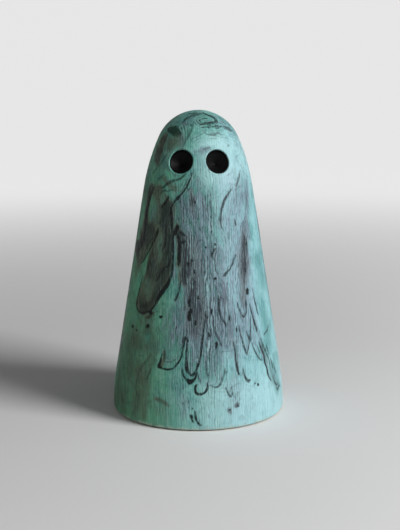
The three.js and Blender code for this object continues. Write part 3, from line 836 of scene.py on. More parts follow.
# Soft washes at each side: heights, then ranges of the azimuth and height about each place, the
# half-width, the half-height, the lean in degrees and the strength
SIDE_WASH_HEIGHTS = (104, 90, 76, 62, 48, 34, 20)
SIDE_WASHES = {
    "grey": ((-13, 13), (-6, 6), (3, 7), (9, 20), (-12, 12), (0.4, 0.95)),
    "green": ((-15, 15), (-12, 8), (2, 5), (4, 12), (-10, 10), (0.2, 0.6)),
    "dark": ((-14, 14), (-6, 6), (1, 2.6), (4, 12), (-14, 14), (0.1, 0.8)),
}


def round_the_side(marks, side):
    """Marks from the middle of the front, drawn again on one of the sides."""
    middle, turn, lift, stretch_up = side
    return [
        (middle + turn * (azimuth - FRONT_MIDDLE), lift + stretch_up * height, *rest)
        for azimuth, height, *rest in marks
    ]


def side_marbling(rng):
    """Marks for the two sides, where the front's and the back's leave off."""
    lines, dots = {}, []
    washes = {kind: [] for kind in SIDE_WASHES}
    for side in SIDES:
        for name, (marks, strength) in LINES.items():
            from_middle = max(abs(azimuth - FRONT_MIDDLE) for azimuth, _, _ in marks)
            highest = max(height for _, height, _ in marks)
            if from_middle < SIDE_REACH and highest < HIGHEST_SIDE_LINE:
                strength = strength * rng.uniform(0.6, 1.0)
                lines[f"side_{side[0]}_{name}"] = (round_the_side(marks, side), strength)
        kept = [dot for dot in DOTS if abs(dot[0] - FRONT_MIDDLE) < SIDE_REACH - 4 and rng.random() < 0.7]
        dots += round_the_side(kept, side)
        for place in SIDE_WASH_HEIGHTS:
            for kind, ranges in SIDE_WASHES.items():
                azimuth, height, *rest = (rng.uniform(least, greatest) for least, greatest in ranges)
                washes[kind].append((side[0] + azimuth, place + height, *rest))
    return lines, dots, washes


def closest_on(curve, widths, points):
    """From each point to a curve: signed distance, the half-width there, and the room to its ends."""
    along = curve[1:] - curve[:-1]
    lengths = np.linalg.norm(along, axis=1)
    before = np.concatenate([[0], np.cumsum(lengths)])
    best = np.full(len(points), 1e9)
    side, place, width = np.ones(len(points)), np.zeros(len(points)), np.zeros(len(points))
    normals = normal_on_body(points)
    for number, (start, step, length) in enumerate(zip(curve, along, lengths)):
        offset = points - start
        t = np.clip(offset @ step / length**2, 0, 1)
        away = offset - t[:, None] * step
        distance = np.linalg.norm(away, axis=1)
        nearer = distance < best
        best = np.where(nearer, distance, best)
        turn = np.einsum("ij,ij->i", np.cross(np.broadcast_to(step, away.shape), away), normals)
        side = np.where(nearer, np.sign(turn), side)
        place = np.where(nearer, before[number] + t * length, place)
        width = np.where(nearer, widths[number] * (1 - t) + widths[number + 1] * t, width)
    return best * side, width, np.minimum(place, before[-1] - place)


LINE_SETS = ("ink_a", "ink_b", "ink_c", "ink_d")
SWIRL_REACH = 3.6


def swirl_field(points, swirls):
    """Signed distance to the nearest swirl, and how strongly it marks the paint there."""
    field = np.tile([9.0, 0.0, 0.0], (len(points), 1))
    for marks, strength in swirls.values():
        curve, _ = smooth_line([(azimuth, height, 0.2) for azimuth, height in marks])
        distance, _, room = closest_on(curve, np.full(len(curve), 0.2), points)
        power = strength * smooth(SWIRL_REACH, SWIRL_REACH * 0.3, np.abs(distance)) * smooth(0, 5, room)
        take = np.abs(distance) < np.abs(field[:, 0])
        field[take] = np.stack([distance, power, np.zeros(len(points))], -1)[take]
    return field


def ink_fields(points, lines, dots):
    """For each set of lines that keep clear of each other, every point's signed distance to the
    nearest line, the line's half-width there and its strength."""
    sets = [np.tile([9.0, 0.2, 0.0], (len(points), 1)) for _ in LINE_SETS]
    members = [[] for _ in LINE_SETS]
    for marks, strength in lines.values():
        # Each line runs left to right, so that the drip it rounds off lies on its left
        curve, widths = smooth_line(marks if marks[0][0] < marks[-1][0] else marks[::-1])
        reach = 0.9 + 1.7 * widths.max()
        gaps = []
        for kept in members:
            apart = [
                np.linalg.norm(curve[:, None] - other[None], axis=2).min() - far for other, far in kept
            ]
            gaps.append(min(apart, default=99.0) - reach)
        chosen = next((i for i, gap in enumerate(gaps) if gap > 0), int(np.argmax(gaps)))
        members[chosen].append((curve, reach))
        middle = (curve.min(0) + curve.max(0)) / 2
        extent = np.linalg.norm(curve.max(0) - curve.min(0)) / 2 + reach + 1
        near = np.nonzero(np.linalg.norm(points - middle, axis=1) < extent)[0]
        distance, width, room = closest_on(curve, widths, points[near])
        near_line = 1 - smooth(reach * 0.75, reach, np.abs(distance))
        value = np.stack([distance, width, strength * smooth(0, 0.5, room) * near_line], -1)
        take = np.abs(distance) < np.abs(sets[chosen][near][:, 0])
        sets[chosen][near] = np.where(take[:, None], value, sets[chosen][near])
    spots = np.full(len(points), 4.0)
    for azimuth, height, half_width, half_height in dots:
        centre = on_body(deg(azimuth), height)
        offset = points - centre
        shape = np.hypot(offset @ to_the_right(azimuth) / half_width, offset[:, 2] / half_height)
        near = np.linalg.norm(offset, axis=1) < 2 * (half_width + half_height) + 1
        spots = np.where(near, np.minimum(spots, (shape - 1) * min(half_width, half_height)), spots)
    return sets, spots


def facing_out(azimuth):
    return np.array([math.sin(deg(azimuth)), -math.cos(deg(azimuth)), 0.0])


def to_the_right(azimuth):
    return np.array([math.cos(deg(azimuth)), math.sin(deg(azimuth)), 0.0])


def rounded(outline):
    """A closed outline with its corners eased, as azimuths in radians and heights."""
    corners = np.array([(deg(azimuth), height) for azimuth, height in outline])
    before, after, later = (np.roll(corners, shift, axis=0) for shift in (1, -1, -2))
    pieces = [eased(before, corners, after, later, share) for share in (0, 0.25, 0.5, 0.75)]
    return np.stack(pieces, 1).reshape(-1, 2)


def inside_distance(azimuths, heights, outline):
    """Distance from each point of the surface to a closed outline, positive inside."""
    radius = radius_at(heights)
    best = np.full(len(heights), 1e9)
    inside = np.zeros(len(heights), bool)
    corners = rounded(outline)
    for (a0, h0), (a1, h1) in zip(corners, np.roll(corners, -1, axis=0)):
        along, rise = (a1 - a0) * radius, h1 - h0
        across, up = (azimuths - a0) * radius, heights - h0
        t = np.clip((across * along + up * rise) / (along**2 + rise**2 + 1e-9), 0, 1)
        best = np.minimum(best, np.hypot(across - t * along, up - t * rise))
        crossed = (h0 > heights) != (h1 > heights)
        meets = a0 + (a1 - a0) * (heights - h0) / (rise if rise else 1e-9)
        inside ^= crossed & (azimuths < meets)
    return np.where(inside, best, -best)


def wandering(points):
    """Azimuths and heights pushed about a little, so that paint edges wander."""
    heights = points[:, 2] + 1.5 * noise_at(points, (5, 5, 8), 21.0)
    heights += 0.6 * noise_at(points, (2, 2, 3), 23.0)
    pushed = 0.8 * noise_at(points, (4, 4, 9), 25.0) + 0.4 * noise_at(points, (1.6, 1.6, 4), 27.0)
    azimuths = np.arctan2(points[:, 0], -points[:, 1]) + pushed / np.maximum(radius_at(points[:, 2]), 4)
    return azimuths, np.clip(heights, SOLE + 0.01, TOP - 0.01)


def outlined(azimuths, heights, outline):
    """Distance inside an outline at the front or, turned, at the back, whichever is greater."""
    inside = np.full(len(heights), -30.0)
    for middle, marks in ((0.0, outline), (math.pi, turned(outline))):
        there = (azimuths - middle + math.pi) % (2 * math.pi) - math.pi
        near = np.nonzero(np.abs(there) < deg(100))[0]
        inside[near] = np.maximum(inside[near], inside_distance(there[near], heights[near], marks))
    return inside


def paint_flow(points):
    """A number whose level lines run as the wet paint ran: round the lobes and down the drips."""
    azimuths, heights = wandering(points)
    flow = 9 * noise_at(points, (13, 13, 46), 31.0)
    leaders = [DARK_PATCHES[name] for name in ("lobe", "upper_lobe")]
    leaders += [GREY_PATCHES[name] for name in ("veil", "cheek_veil", "drip_bowl", "dark_band")]
    near = np.full(len(points), -20.0)
    for outline, _, _ in leaders:
        near = np.maximum(near, outlined(azimuths, heights, outline))
    shown = smooth(deg(20), deg(8), np.abs(np.abs(azimuths) - deg(90)))
    shown = (1 - shown) * smooth(122, 104, heights)
    return flow * (1 - 0.72 * shown) + np.maximum(near, -9) * shown


def wash_field(points, patches, washes, islands=()):
    """How much of a wash lies at each point, with outlines front and back and soft ones at the sides."""
    azimuths, heights = wandering(points)
    clear = np.ones(len(points))
    for outline, softness, strength in patches.values():
        cover = strength * smooth(-softness, softness, outlined(azimuths, heights, outline))
        clear = np.minimum(clear, 1 - cover)
    for outline, softness, strength in islands:
        cover = strength * smooth(-softness, softness, outlined(azimuths, heights, outline))
        clear += (1 - clear) * cover
    for azimuth, height, half_width, half_height, lean, strength in washes:
        centre = on_body(deg(azimuth), height)
        offset = points - centre
        rise = offset[:, 2]
        across = offset @ to_the_right(azimuth) - rise * math.tan(deg(lean))
        across += 2.2 * noise_at(points, (4, 4, 7), 41.0) + noise_at(points, (1.6, 1.6, 4), 43.0)
        rise = rise + 3 * noise_at(points, (4, 4, 7), 45.0)
        facing = smooth(-6.0, 2.0, points @ facing_out(azimuth))
        shape = (across / half_width) ** 2 + (rise / half_height) ** 2
        clear *= 1 - strength * np.exp(-(shape**1.6)) * facing
    return 1 - clear


# Materials

def paint(red, green, blue):
    """A colour from its 0-255 sRGB values, as the shader's linear numbers."""
    def linear(value):
        value /= 255
        return value / 12.92 if value <= 0.04045 else ((value + 0.055) / 1.055) ** 2.4
    return linear(red), linear(green), linear(blue), 1.0


class Shader:
    """A material whose nodes are made by calls."""

    def __init__(self, name):
        self.material = bpy.data.materials.new(name)
        self.material.use_nodes = True
        self.nodes = self.material.node_tree.nodes
        self.links = self.material.node_tree.links
        self.surface = self.nodes["Principled BSDF"]
        coordinates = self.nodes.new("ShaderNodeTexCoord")
        scaled = self.nodes.new("ShaderNodeVectorMath")
        scaled.operation = "SCALE"
        scaled.inputs["Scale"].default_value = 1 / MM
        self.links.new(coordinates.outputs["Object"], scaled.inputs[0])
        self.place = scaled.outputs[0]

    def put(self, socket, value):
        if isinstance(value, bpy.types.NodeSocket):
            self.links.new(value, socket)
        else:
            socket.default_value = value

    def math(self, operation, *values):
        node = self.nodes.new("ShaderNodeMath")
        node.operation = operation
        for socket, value in zip(node.inputs, values):
            self.put(socket, value)
        return node.outputs[0]

    def fold(self, operation, values):
        total = values[0]
        for value in values[1:]:
            total = self.math(operation, total, value)
        return total

    def add(self, *values):
        return self.fold("ADD", values)

    def times(self, *values):
        return self.fold("MULTIPLY", values)

    def most(self, *values):
        return self.fold("MAXIMUM", values)

    def less(self, value, taken):
        return self.math("SUBTRACT", value, taken)

    def size_of(self, value):
        return self.math("ABSOLUTE", value)

    def centred(self, value, amount):
        """A noise as a push of up to half an amount either way."""
        return self.times(self.less(value, 0.5), amount)

    def band(self, low_end, high_end, value, low_value=0.0, high_value=1.0):
        """Eases from one value to another as the input goes between two ends."""
        node = self.nodes.new("ShaderNodeMapRange")
        node.interpolation_type = "SMOOTHSTEP"
        for socket, part in zip(node.inputs, (value, low_end, high_end, low_value, high_value)):
            self.put(socket, part)
        return node.outputs[0]

    def mix(self, amount, first, second):
        node = self.nodes.new("ShaderNodeMix")
        node.data_type = "RGBA"
        self.put(node.inputs[0], amount)
        self.put(node.inputs[6], first)
        self.put(node.inputs[7], second)
        return node.outputs[2]

    def noise(self, vector, size, detail=2.0, roughness=0.5, colour=False):
        """Noise of 0 to 1, with cells of a size along each axis."""
        fitted = self.nodes.new("ShaderNodeVectorMath")
        fitted.operation = "MULTIPLY"
        self.put(fitted.inputs[0], vector)
        fitted.inputs[1].default_value = [1 / length for length in size]
        node = self.nodes.new("ShaderNodeTexNoise")
        self.put(node.inputs["Vector"], fitted.outputs[0])
        node.inputs["Scale"].default_value = 1.0
        node.inputs["Detail"].default_value = detail
        node.inputs["Roughness"].default_value = roughness
        return node.outputs[1] if colour else node.outputs[0]

    def push(self, size, amount, detail=2.0):
        """A push of up to half an amount either way, from noise with cells of a size."""
        return self.centred(self.noise(self.place, size, detail), amount)

    def wobble(self, vector, size, amount, detail=2.0):
        """Coordinates pushed about by noise."""
        centred = self.nodes.new("ShaderNodeVectorMath")
        centred.operation = "SUBTRACT"
        self.put(centred.inputs[0], self.noise(vector, size, detail, colour=True))
        centred.inputs[1].default_value = (0.5, 0.5, 0.5)
        moved = self.nodes.new("ShaderNodeVectorMath")
        moved.operation = "MULTIPLY_ADD"
        self.put(moved.inputs[0], centred.outputs[0])
        moved.inputs[1].default_value = amount
        self.put(moved.inputs[2], vector)
        return moved.outputs[0]

    def attribute(self, name):
        node = self.nodes.new("ShaderNodeAttribute")
        node.attribute_name = name
        return node

    def number(self, name):
        return self.attribute(name).outputs["Fac"]

    def three_numbers(self, name):
        return self.parts(self.attribute(name).outputs["Vector"])

    def parts(self, vector):
        node = self.nodes.new("ShaderNodeSeparateXYZ")
        self.put(node.inputs[0], vector)
        return node.outputs[0], node.outputs[1], node.outputs[2]

    def together(self, *parts):
        node = self.nodes.new("ShaderNodeCombineXYZ")
        for socket, part in zip(node.inputs, parts):
            self.put(socket, part)
        return node.outputs[0]

    def chance(self, value):
        """A steady random number for each whole number."""
        node = self.nodes.new("ShaderNodeTexWhiteNoise")
        node.noise_dimensions = "1D"
        self.put(node.inputs["W"], value)
        return node.outputs[0]

    def bump(self, height):
        """The normal of a relief whose height is in millimetres."""
        node = self.nodes.new("ShaderNodeBump")
        node.inputs["Strength"].default_value = 1.0
        node.inputs["Distance"].default_value = MM
        self.put(node.inputs["Height"], height)
        return node.outputs[0]

    def finish(self, colour, roughness, normal):
        self.put(self.surface.inputs["Base Color"], colour)
        self.put(self.surface.inputs["Roughness"], roughness)
        self.put(self.surface.inputs["Normal"], normal)
        return self.material


MINT = paint(138, 196, 190)
DEEP_MINT = paint(90, 160, 146)
# Greener mint for the left: partly the paint's own tone, partly painted shade
FRESH_GREEN_AND_SHADE = paint(100, 171, 133)
# Cooler mint for the right: partly the paint's own tone, partly painted light of the lit side
COOL_MINT_AND_LIGHT = paint(141, 189, 198)
PALE_MINT = paint(166, 216, 208)
# Pale tint for the painted highlight on the brow and the lower front
PAINTED_HIGHLIGHT = paint(176, 214, 220)
# Pale tint for the grain ridges: partly rubbed paint, partly painted highlight
PALE_RIDGE_AND_HIGHLIGHT = paint(164, 206, 207)
LAVENDER_GREY = paint(52, 60, 72)
PALE_GREY = paint(128, 150, 164)
PURPLE_GREY = paint(80, 81, 94)
# Pale lavender for the right: partly a real wash, partly painted sheen
PALE_LAVENDER_AND_SHEEN = paint(147, 170, 188)
SLATE = paint(46, 49, 57)
PALE_SLATE = paint(108, 122, 128)
# Brown tones for the dark washes at the left, partly painted shade; the lighter one also tints the moss
BROWN_BLACK = paint(52, 51, 44)
BROWN_GREY = paint(101, 113, 93)
OLIVE_BLACK = paint(26, 31, 30)
MOSS = paint(58, 90, 68)
DARK_GREEN = paint(8, 56, 40)
TEAL = paint(62, 124, 124)
CLEAN_GREEN = paint(112, 200, 166)
# Darker green for the far left: partly painted shade
DEEP_GREEN_AND_SHADE = paint(74, 142, 100)
INK = paint(7, 14, 16)
BARE_WOOD = paint(196, 164, 124)
BARE_WOOD_DARK = paint(178, 142, 102)
BARE_WOOD_LINE = paint(140, 101, 64)
WORN_WOOD = paint(186, 200, 186)


# How each wash shows: the amounts at which it starts and is full, then how much the streaks,
# the clouds and the marbling break it up
GREEN_WASH = (0.08, 0.74, 0.3, 0.5, 0.5)
GREY_WASH = (0.06, 0.94, 1.6, 1.1, 0.9)
DARK_WASH = (0.08, 0.6, 0.2, 0.4, 0.35)

# Contour lines in the whole range of the twisted noise, and swirl lines to a millimetre
CONTOURS = 9.0
SWIRL_LINES = 0.8

# The ink's strength, and the reach in millimetres and strength of the soft pool inside each line
INK_STRENGTH = 0.97
POOL_REACH = 1.5
POOL_STRENGTH = 0.42


# The body's paint, layer by layer. Each layer takes the colour below it and gives its own.

def lay_out(s):
    """The places and noises that the layers share."""
    s.x, s.y, s.z = s.parts(s.place)
    s.grey, s.dark, s.green = s.three_numbers("wash")

    # Vertical streaks, which break up every wash along the grain
    s.streak = s.noise(s.place, (1.0, 1.0, 15), 3.0, 0.6)
    s.fine_streak = s.noise(s.place, (0.34, 0.34, 6), 2.0, 0.6)
    s.cloud = s.noise(s.wobble(s.place, (11, 11, 16), (7, 7, 10)), (9, 9, 15), 3.0, 0.55)
    s.mottle = s.noise(s.place, (2.2, 2.2, 3.4), 3.0, 0.6)

    # Marble streaks along the paint's flow
    flow = s.number("flow")
    along = s.together(s.add(flow, s.centred(s.mottle, 1.6)), s.times(s.z, 0.05), s.times(s.x, 0.05))
    s.marble = s.noise(along, (1.5, 1.0, 1.0), 3.0, 0.6)
    wave = s.math("FRACT", s.add(s.times(flow, 0.36), s.times(s.cloud, 3.0)))
    s.marble_line = s.band(0.14, 0.02, s.size_of(s.less(wave, 0.5)))


def mint_ground(s):
    """Greener and mossy at the left, cooler and lavender at the right. The left's greener, darker green is
    partly the paint's own tone and partly painted shade; the right's cooler mint and pale lavender are partly
    painted light and sheen. A pale tint on the brow and the lower front right is a painted highlight.
    """
    ground = s.mix(s.band(0.36, 0.66, s.times(s.add(s.cloud, s.marble), 0.5)), DEEP_MINT, MINT)
    # Partly painted shade: greener towards the left, the side away from the light
    ground = s.mix(s.band(-2, -24, s.x, 0.0, 0.95), ground, FRESH_GREEN_AND_SHADE)
    # Partly painted light: cooler mint towards the right, the lit side
    ground = s.mix(s.band(0, 17, s.x, 0.0, 0.85), ground, COOL_MINT_AND_LIGHT)
    shade = s.noise(s.wobble(s.place, (6, 6, 9), (4, 4, 6)), (6, 6, 10), 3.0, 0.55)
    ground = s.mix(s.band(0.52, 0.36, shade, 0.0, 0.5), ground, TEAL)
    ground = s.mix(s.band(0.48, 0.72, s.streak, 0.0, 0.34), ground, PALE_MINT)
    ground = s.mix(s.band(0.52, 0.34, s.streak, 0.0, 0.3), ground, TEAL)
    # Partly painted shade: darker green at the far left
    ground = s.mix(s.band(-18, -31, s.x, 0.0, 0.6), ground, DEEP_GREEN_AND_SHADE)
    mossy = s.noise(s.wobble(s.place, (9, 9, 12), (8, 8, 10)), (8, 8, 15), 3.0, 0.6)
    mossy = s.times(s.band(0.47, 0.66, mossy), s.band(-4, -26, s.x), 0.72)
    ground = s.mix(mossy, ground, s.mix(s.mottle, MOSS, BROWN_GREY))
    azimuth = s.math("ARCTAN2", s.x, s.times(s.y, -1.0))
    # Partly painted sheen: pale lavender over the middle of the right side
    lavender_and_sheen = s.times(
        s.band(1, 12, s.x), s.band(1.0, 0.78, azimuth), s.band(22, 46, s.z), s.band(107, 101, s.z),
        s.band(0.3, 0.62, s.streak, 0.35, 1.0), 0.66,
    )
    ground = s.mix(lavender_and_sheen, ground, PALE_LAVENDER_AND_SHEEN)
    # Painted highlight: a pale tint on the brow and on the lower front, right of the middle
    brow = s.times(s.band(91, 106, s.z), s.band(121, 114, s.z), s.band(-4, 3, s.x))
    foot = s.times(s.band(26, 13, s.z), s.band(-5, 4, s.x))
    return s.mix(s.times(s.most(brow, foot), 0.5), ground, PAINTED_HIGHLIGHT)


def contour_swirls(s, colour):
    """Contour lines of a twisted noise, which run round the crown and down the sides."""
    level = s.noise(s.wobble(s.place, (15, 15, 22), (20, 20, 14), 1.5), (17, 17, 15), 1.0, 0.4)
    wave = s.math("FRACT", s.times(level, CONTOURS))
    s.contour = s.band(0.16, 0.02, s.size_of(s.less(wave, 0.5)))
    shown = s.times(s.band(0.44, 0.62, s.noise(s.place, (14, 14, 18), 1.0)), s.band(0.3, 0.7, s.mottle))
    higher = s.band(84, 118, s.z, 0.5, 1.0)
    leftward = s.band(6, -18, s.x, 0.2, 0.8)
    s.contour_power = s.times(shown, s.most(leftward, higher), 0.7)
    return s.mix(s.times(s.band(0.5, 0.0, wave), s.contour_power, 0.34), colour, MOSS)


def wash(s, amount, low_end, high_end, streaks, clouds, marbled):
    """How much of a wash shows, once streaks, clouds and marbling have broken it up."""
    present = s.band(0.0, 0.25, amount, 0.1, 1.0)
    unevenness = s.add(
        s.centred(s.streak, streaks), s.centred(s.cloud, clouds),
        s.centred(s.marble, marbled), s.centred(s.fine_streak, streaks * 0.6),
    )
    return s.band(low_end, high_end, s.add(amount, s.times(unevenness, present)))


def clean_and_grey_washes(s, colour):
    tone = s.mix(s.band(112, 119, s.z), s.mix(s.band(-4, 20, s.x), CLEAN_GREEN, TEAL), DARK_GREEN)
    power = s.band(112, 119, s.z, 0.85, 0.97)
    colour = s.mix(s.times(wash(s, s.green, *GREEN_WASH), power), colour, tone)
    tone = s.mix(s.band(0.36, 0.64, s.times(s.add(s.streak, s.marble), 0.5)), LAVENDER_GREY, PALE_GREY)
    purple = s.noise(s.wobble(s.place, (5, 5, 8), (3, 3, 5)), (4, 4, 11), 2.0)
    tone = s.mix(s.band(0.46, 0.66, purple, 0.0, 0.55), tone, PURPLE_GREY)
    power = s.band(20, 40, s.z, 0.66, 0.92)
    return s.mix(s.times(wash(s, s.grey, *GREY_WASH), power), colour, tone)


def dark_washes(s, colour):
    """Brown and mossy at the left, slate towards the middle, near black where they lie thick. The brown and
    mossy tone at the left is partly painted shade: the same wash's colour as it looks on the shaded side.
    """
    tone = s.noise(s.wobble(s.place, (9, 9, 16), (5, 5, 8)), (5, 5, 17), 3.0, 0.5)
    depth = s.add(
        s.times(s.dark, 0.95), s.centred(tone, 1.1), s.centred(s.marble, 0.8), s.centred(s.streak, 0.3),
    )
    # Partly painted shade: the washes turn brown and mossy away from the middle, towards the shaded left
    to_centre = s.most(
        s.band(-10, -5, s.x), s.times(s.band(-15, -11, s.x), s.band(46, 38, s.z)),
    )
    thin = s.mix(to_centre, s.mix(s.band(-22, -31, s.x, 0.0, 0.8), BROWN_GREY, MOSS), PALE_SLATE)
    thick = s.mix(to_centre, BROWN_BLACK, SLATE)
    tone = s.mix(s.band(0.3, 0.86, depth), thin, thick)
    tone = s.mix(s.band(0.8, 1.1, depth), tone, OLIVE_BLACK)
    colour = s.mix(s.times(wash(s, s.dark, *DARK_WASH), 0.92), colour, tone)
    colour = s.mix(s.times(s.contour, s.contour_power, 0.6), colour, OLIVE_BLACK)
    near_wash = s.math("MINIMUM", s.add(s.times(s.most(s.grey, s.dark), 1.2), 0.12), 1.0)
    marbling = s.times(s.marble_line, near_wash, s.band(0.42, 0.6, s.mottle, 0.0, 0.5))
    return s.mix(marbling, colour, OLIVE_BLACK)


def swirl_lines(s, colour):
    """Soft lines in parallel along the swirls."""
    away, power, _ = s.three_numbers("swirl")
    bend = s.add(away, s.push((4, 4, 6), 2.6), s.push((1.1, 1.1, 1.8), 0.7))
    wave = s.math("FRACT", s.times(bend, SWIRL_LINES))
    line = s.band(s.band(112, 120, s.z, 0.2, 0.3), 0.04, s.size_of(s.less(wave, 0.5)))
    power = s.times(power, s.band(0.36, 0.6, s.noise(s.place, (2.4, 2.4, 3.6))))
    colour = s.mix(s.times(s.band(0.2, 0.9, wave), power, 0.3), colour, PALE_SLATE)
    return s.mix(s.times(line, power, s.band(112, 120, s.z, 0.75, 0.95)), colour, OLIVE_BLACK)


def ink_lines(s, colour):
    """The ink lines and dots, with a soft pool inside each line."""
    shake = s.add(s.push((3.2, 3.2, 4), 0.75), s.push((0.7, 0.7, 1.1), 0.24))
    patchy = s.band(0.3, 0.58, s.noise(s.place, (0.9, 0.9, 2.2), 2.0, 0.6))
    swell = s.add(0.62, s.times(s.noise(s.place, (2.2, 2.2, 3.0), 1.0), 0.7))
    line, pool = 0.0, 0.0
    for name in LINE_SETS:
        distance, half_width, strength = s.three_numbers(name)
        shaken = s.add(distance, shake)
        off = s.size_of(shaken)
        spread = s.times(half_width, swell)
        cut = s.band(s.add(s.times(spread, 1.2), 0.17), s.times(spread, 0.75), off)
        full = s.most(s.add(0.58, s.times(patchy, 0.42)), s.band(0.45, 0.7, half_width))
        line = s.most(line, s.times(cut, strength, full))
        pool = s.most(pool, s.times(s.band(POOL_REACH, 0.1, off), s.band(-0.15, 0.15, shaken), strength))
    ragged = s.push((0.8, 0.8, 1.2), 1.1)
    dot = s.band(0.2, -0.12, s.add(s.number("spots"), s.times(shake, 0.8), ragged))
    colour = s.mix(s.times(pool, patchy, POOL_STRENGTH), colour, OLIVE_BLACK)
    s.ink = s.most(line, dot)
    return s.mix(s.times(s.ink, INK_STRENGTH), colour, INK)


def grain_lines(s, colour):
    """Paint sunk into dark grooves and, where no ink lies, rubbed pale on the ridges between. The pale ridges
    and flecks are partly rubbed paint and partly painted highlight, where the raised grain catches the light.
    """
    number = s.add(s.number("grain"), s.push((2.6, 2.6, 9), 2.3, 3.0), s.push((0.7, 0.7, 2.4), 0.55))
    part = s.math("FRACT", number)
    whole = s.math("FLOOR", number)
    s.luck = s.chance(whole)
    other_luck = s.chance(s.add(whole, 57.0))
    wide = s.add(0.15, s.times(s.luck, 0.13))
    s.groove = s.times(s.band(0.0, 0.08, part), s.band(s.add(wide, 0.1), wide, part))
    ridge = s.times(s.band(0.42, 0.54, part), s.band(0.92, 0.74, part))
    dry = s.less(1.0, s.times(s.ink, 0.9))
    strongest = s.band(0.25, 0.9, s.size_of(s.times(s.less(s.x, 2.0), 1 / 34)), 1.0, 0.3)
    power = s.times(
        strongest, s.band(106, 120, s.z, 1.0, 0.25), s.add(0.42, s.times(s.grey, 0.54)),
        s.band(0.34, 0.62, s.noise(s.place, (1.7, 1.7, 14)), 0.3, 1.2),
        s.band(0.34, 0.58, s.noise(s.place, (0.5, 0.5, 4.5)), 0.3, 1.0),
        s.band(0.4, 0.56, s.noise(s.place, (1.0, 1.0, 16)), 0.45, 1.2),
    )
    flecks = s.noise(s.place, (0.3, 0.3, 3.4), 2.0, 0.6)
    for marks, strength, tone in (
        (s.times(s.groove, power), s.add(0.62, s.times(s.luck, 0.5)), OLIVE_BLACK),
        # Pale ridges and flecks: partly rubbed paint, partly painted highlight on the raised grain
        (s.times(ridge, power, dry), s.add(0.16, s.times(other_luck, 0.4)), PALE_RIDGE_AND_HIGHLIGHT),
        (s.times(s.band(0.42, 0.28, flecks), strongest), s.add(0.25, s.times(s.grey, 0.5)), OLIVE_BLACK),
        (s.times(s.band(0.6, 0.74, flecks), strongest, dry), s.add(0.16, s.times(s.grey, 0.26)), PALE_RIDGE_AND_HIGHLIGHT),
    ):
        colour = s.mix(s.times(marks, strength), colour, tone)
    return colour


def bare_foot(s, colour):
    """Bare wood under the foot, with worn and frayed paint at its edge."""
    frayed = s.add(s.z, s.centred(s.noise(s.place, (0.5, 0.5, 2.2), 3.0, 0.65), 3.4))
    s.worn = s.times(s.band(2.3, 0.5, frayed), s.band(0.36, 0.56, s.mottle))
    colour = s.mix(s.times(s.worn, 0.75), colour, WORN_WOOD)
    wood = s.mix(s.band(0.3, 0.7, s.streak), BARE_WOOD, BARE_WOOD_DARK)
    wood = s.mix(s.times(s.groove, 0.8), wood, BARE_WOOD_LINE)
    s.bare = s.band(SOLE + 0.16, SOLE + 0.04, s.add(s.z, s.centred(s.mottle, 0.14)))
    return s.mix(s.bare, colour, wood)


def body_material():
    s = Shader("marbled_paint")
    lay_out(s)
    colour = mint_ground(s)
    for layer in (
        contour_swirls, clean_and_grey_washes, dark_washes, swirl_lines, ink_lines, grain_lines, bare_foot,
    ):
        colour = layer(s, colour)
    roughness = s.add(
        0.40, s.centred(s.mottle, 0.22), s.times(s.groove, 0.12), s.times(s.ink, -0.06),
        s.times(s.bare, 0.25), s.times(s.worn, 0.2),
    )
    pores = s.band(0.42, 0.28, s.noise(s.place, (0.22, 0.22, 2.4), 2.0, 0.6))
    relief = s.add(
        s.times(s.groove, s.luck, -0.045), s.times(pores, -0.04),
        s.centred(s.mottle, 0.05), s.centred(s.fine_streak, 0.06),
    )
    s.surface.inputs["Specular IOR Level"].default_value = 0.22
    return s.finish(colour, roughness, s.bump(relief))


def eye_material():
    s = Shader("black_enamel")
    smear = s.noise(s.place, (0.9, 0.9, 1.6), 3.0, 0.6)
    fine = s.noise(s.place, (0.22, 0.22, 0.22))
    colour = s.mix(s.band(0.35, 0.7, smear), paint(2, 2, 3), paint(7, 7, 8))
    s.surface.inputs["Specular IOR Level"].default_value = 0.12
    relief = s.bump(s.add(s.times(smear, 0.05), s.times(fine, 0.02)))
    return s.finish(colour, s.add(0.40, s.times(smear, 0.16)), relief)


def felt_material():
    s = Shader("pressed_felt")
    fibres = s.noise(s.wobble(s.place, (1.2, 1.2, 1.2), (2.4, 2.4, 2.4)), (0.16, 1.1, 0.3), 3.0, 0.7)
    other = s.noise(s.wobble(s.place, (1.5, 1.5, 1.5), (2.4, 2.4, 2.4)), (1.1, 0.16, 0.3), 3.0, 0.7)
    tufts = s.noise(s.place, (2.6, 2.6, 2.6), 3.0, 0.6)
    both = s.most(fibres, other)
    colour = s.mix(s.band(0.42, 0.72, both), paint(40, 42, 44), paint(86, 88, 90))
    colour = s.mix(s.band(0.4, 0.7, tufts, 0.0, 0.4), colour, paint(60, 61, 63))
    s.surface.inputs["Sheen Weight"].default_value = 0.3
    s.surface.inputs["Specular IOR Level"].default_value = 0.2
    return s.finish(colour, s.add(0.86, s.centred(tufts, 0.12)), s.bump(s.times(both, 0.25)))


# The pieces

def store(mesh, name, values):
    values = np.asarray(values, float)
    kind = "FLOAT" if values.ndim == 1 else "FLOAT_VECTOR"
    field = "value" if values.ndim == 1 else "vector"
    mesh.attributes.new(name, kind, "POINT").data.foreach_set(field, values.ravel())


rng = np.random.default_rng(SEED)
side_lines, side_dots, side_washes = side_marbling(rng)
all_lines = {**LINES, **behind(LINES), **side_lines}
all_dots = DOTS + [(180 + azimuth, *rest) for azimuth, *rest in turned(DOTS)] + side_dots

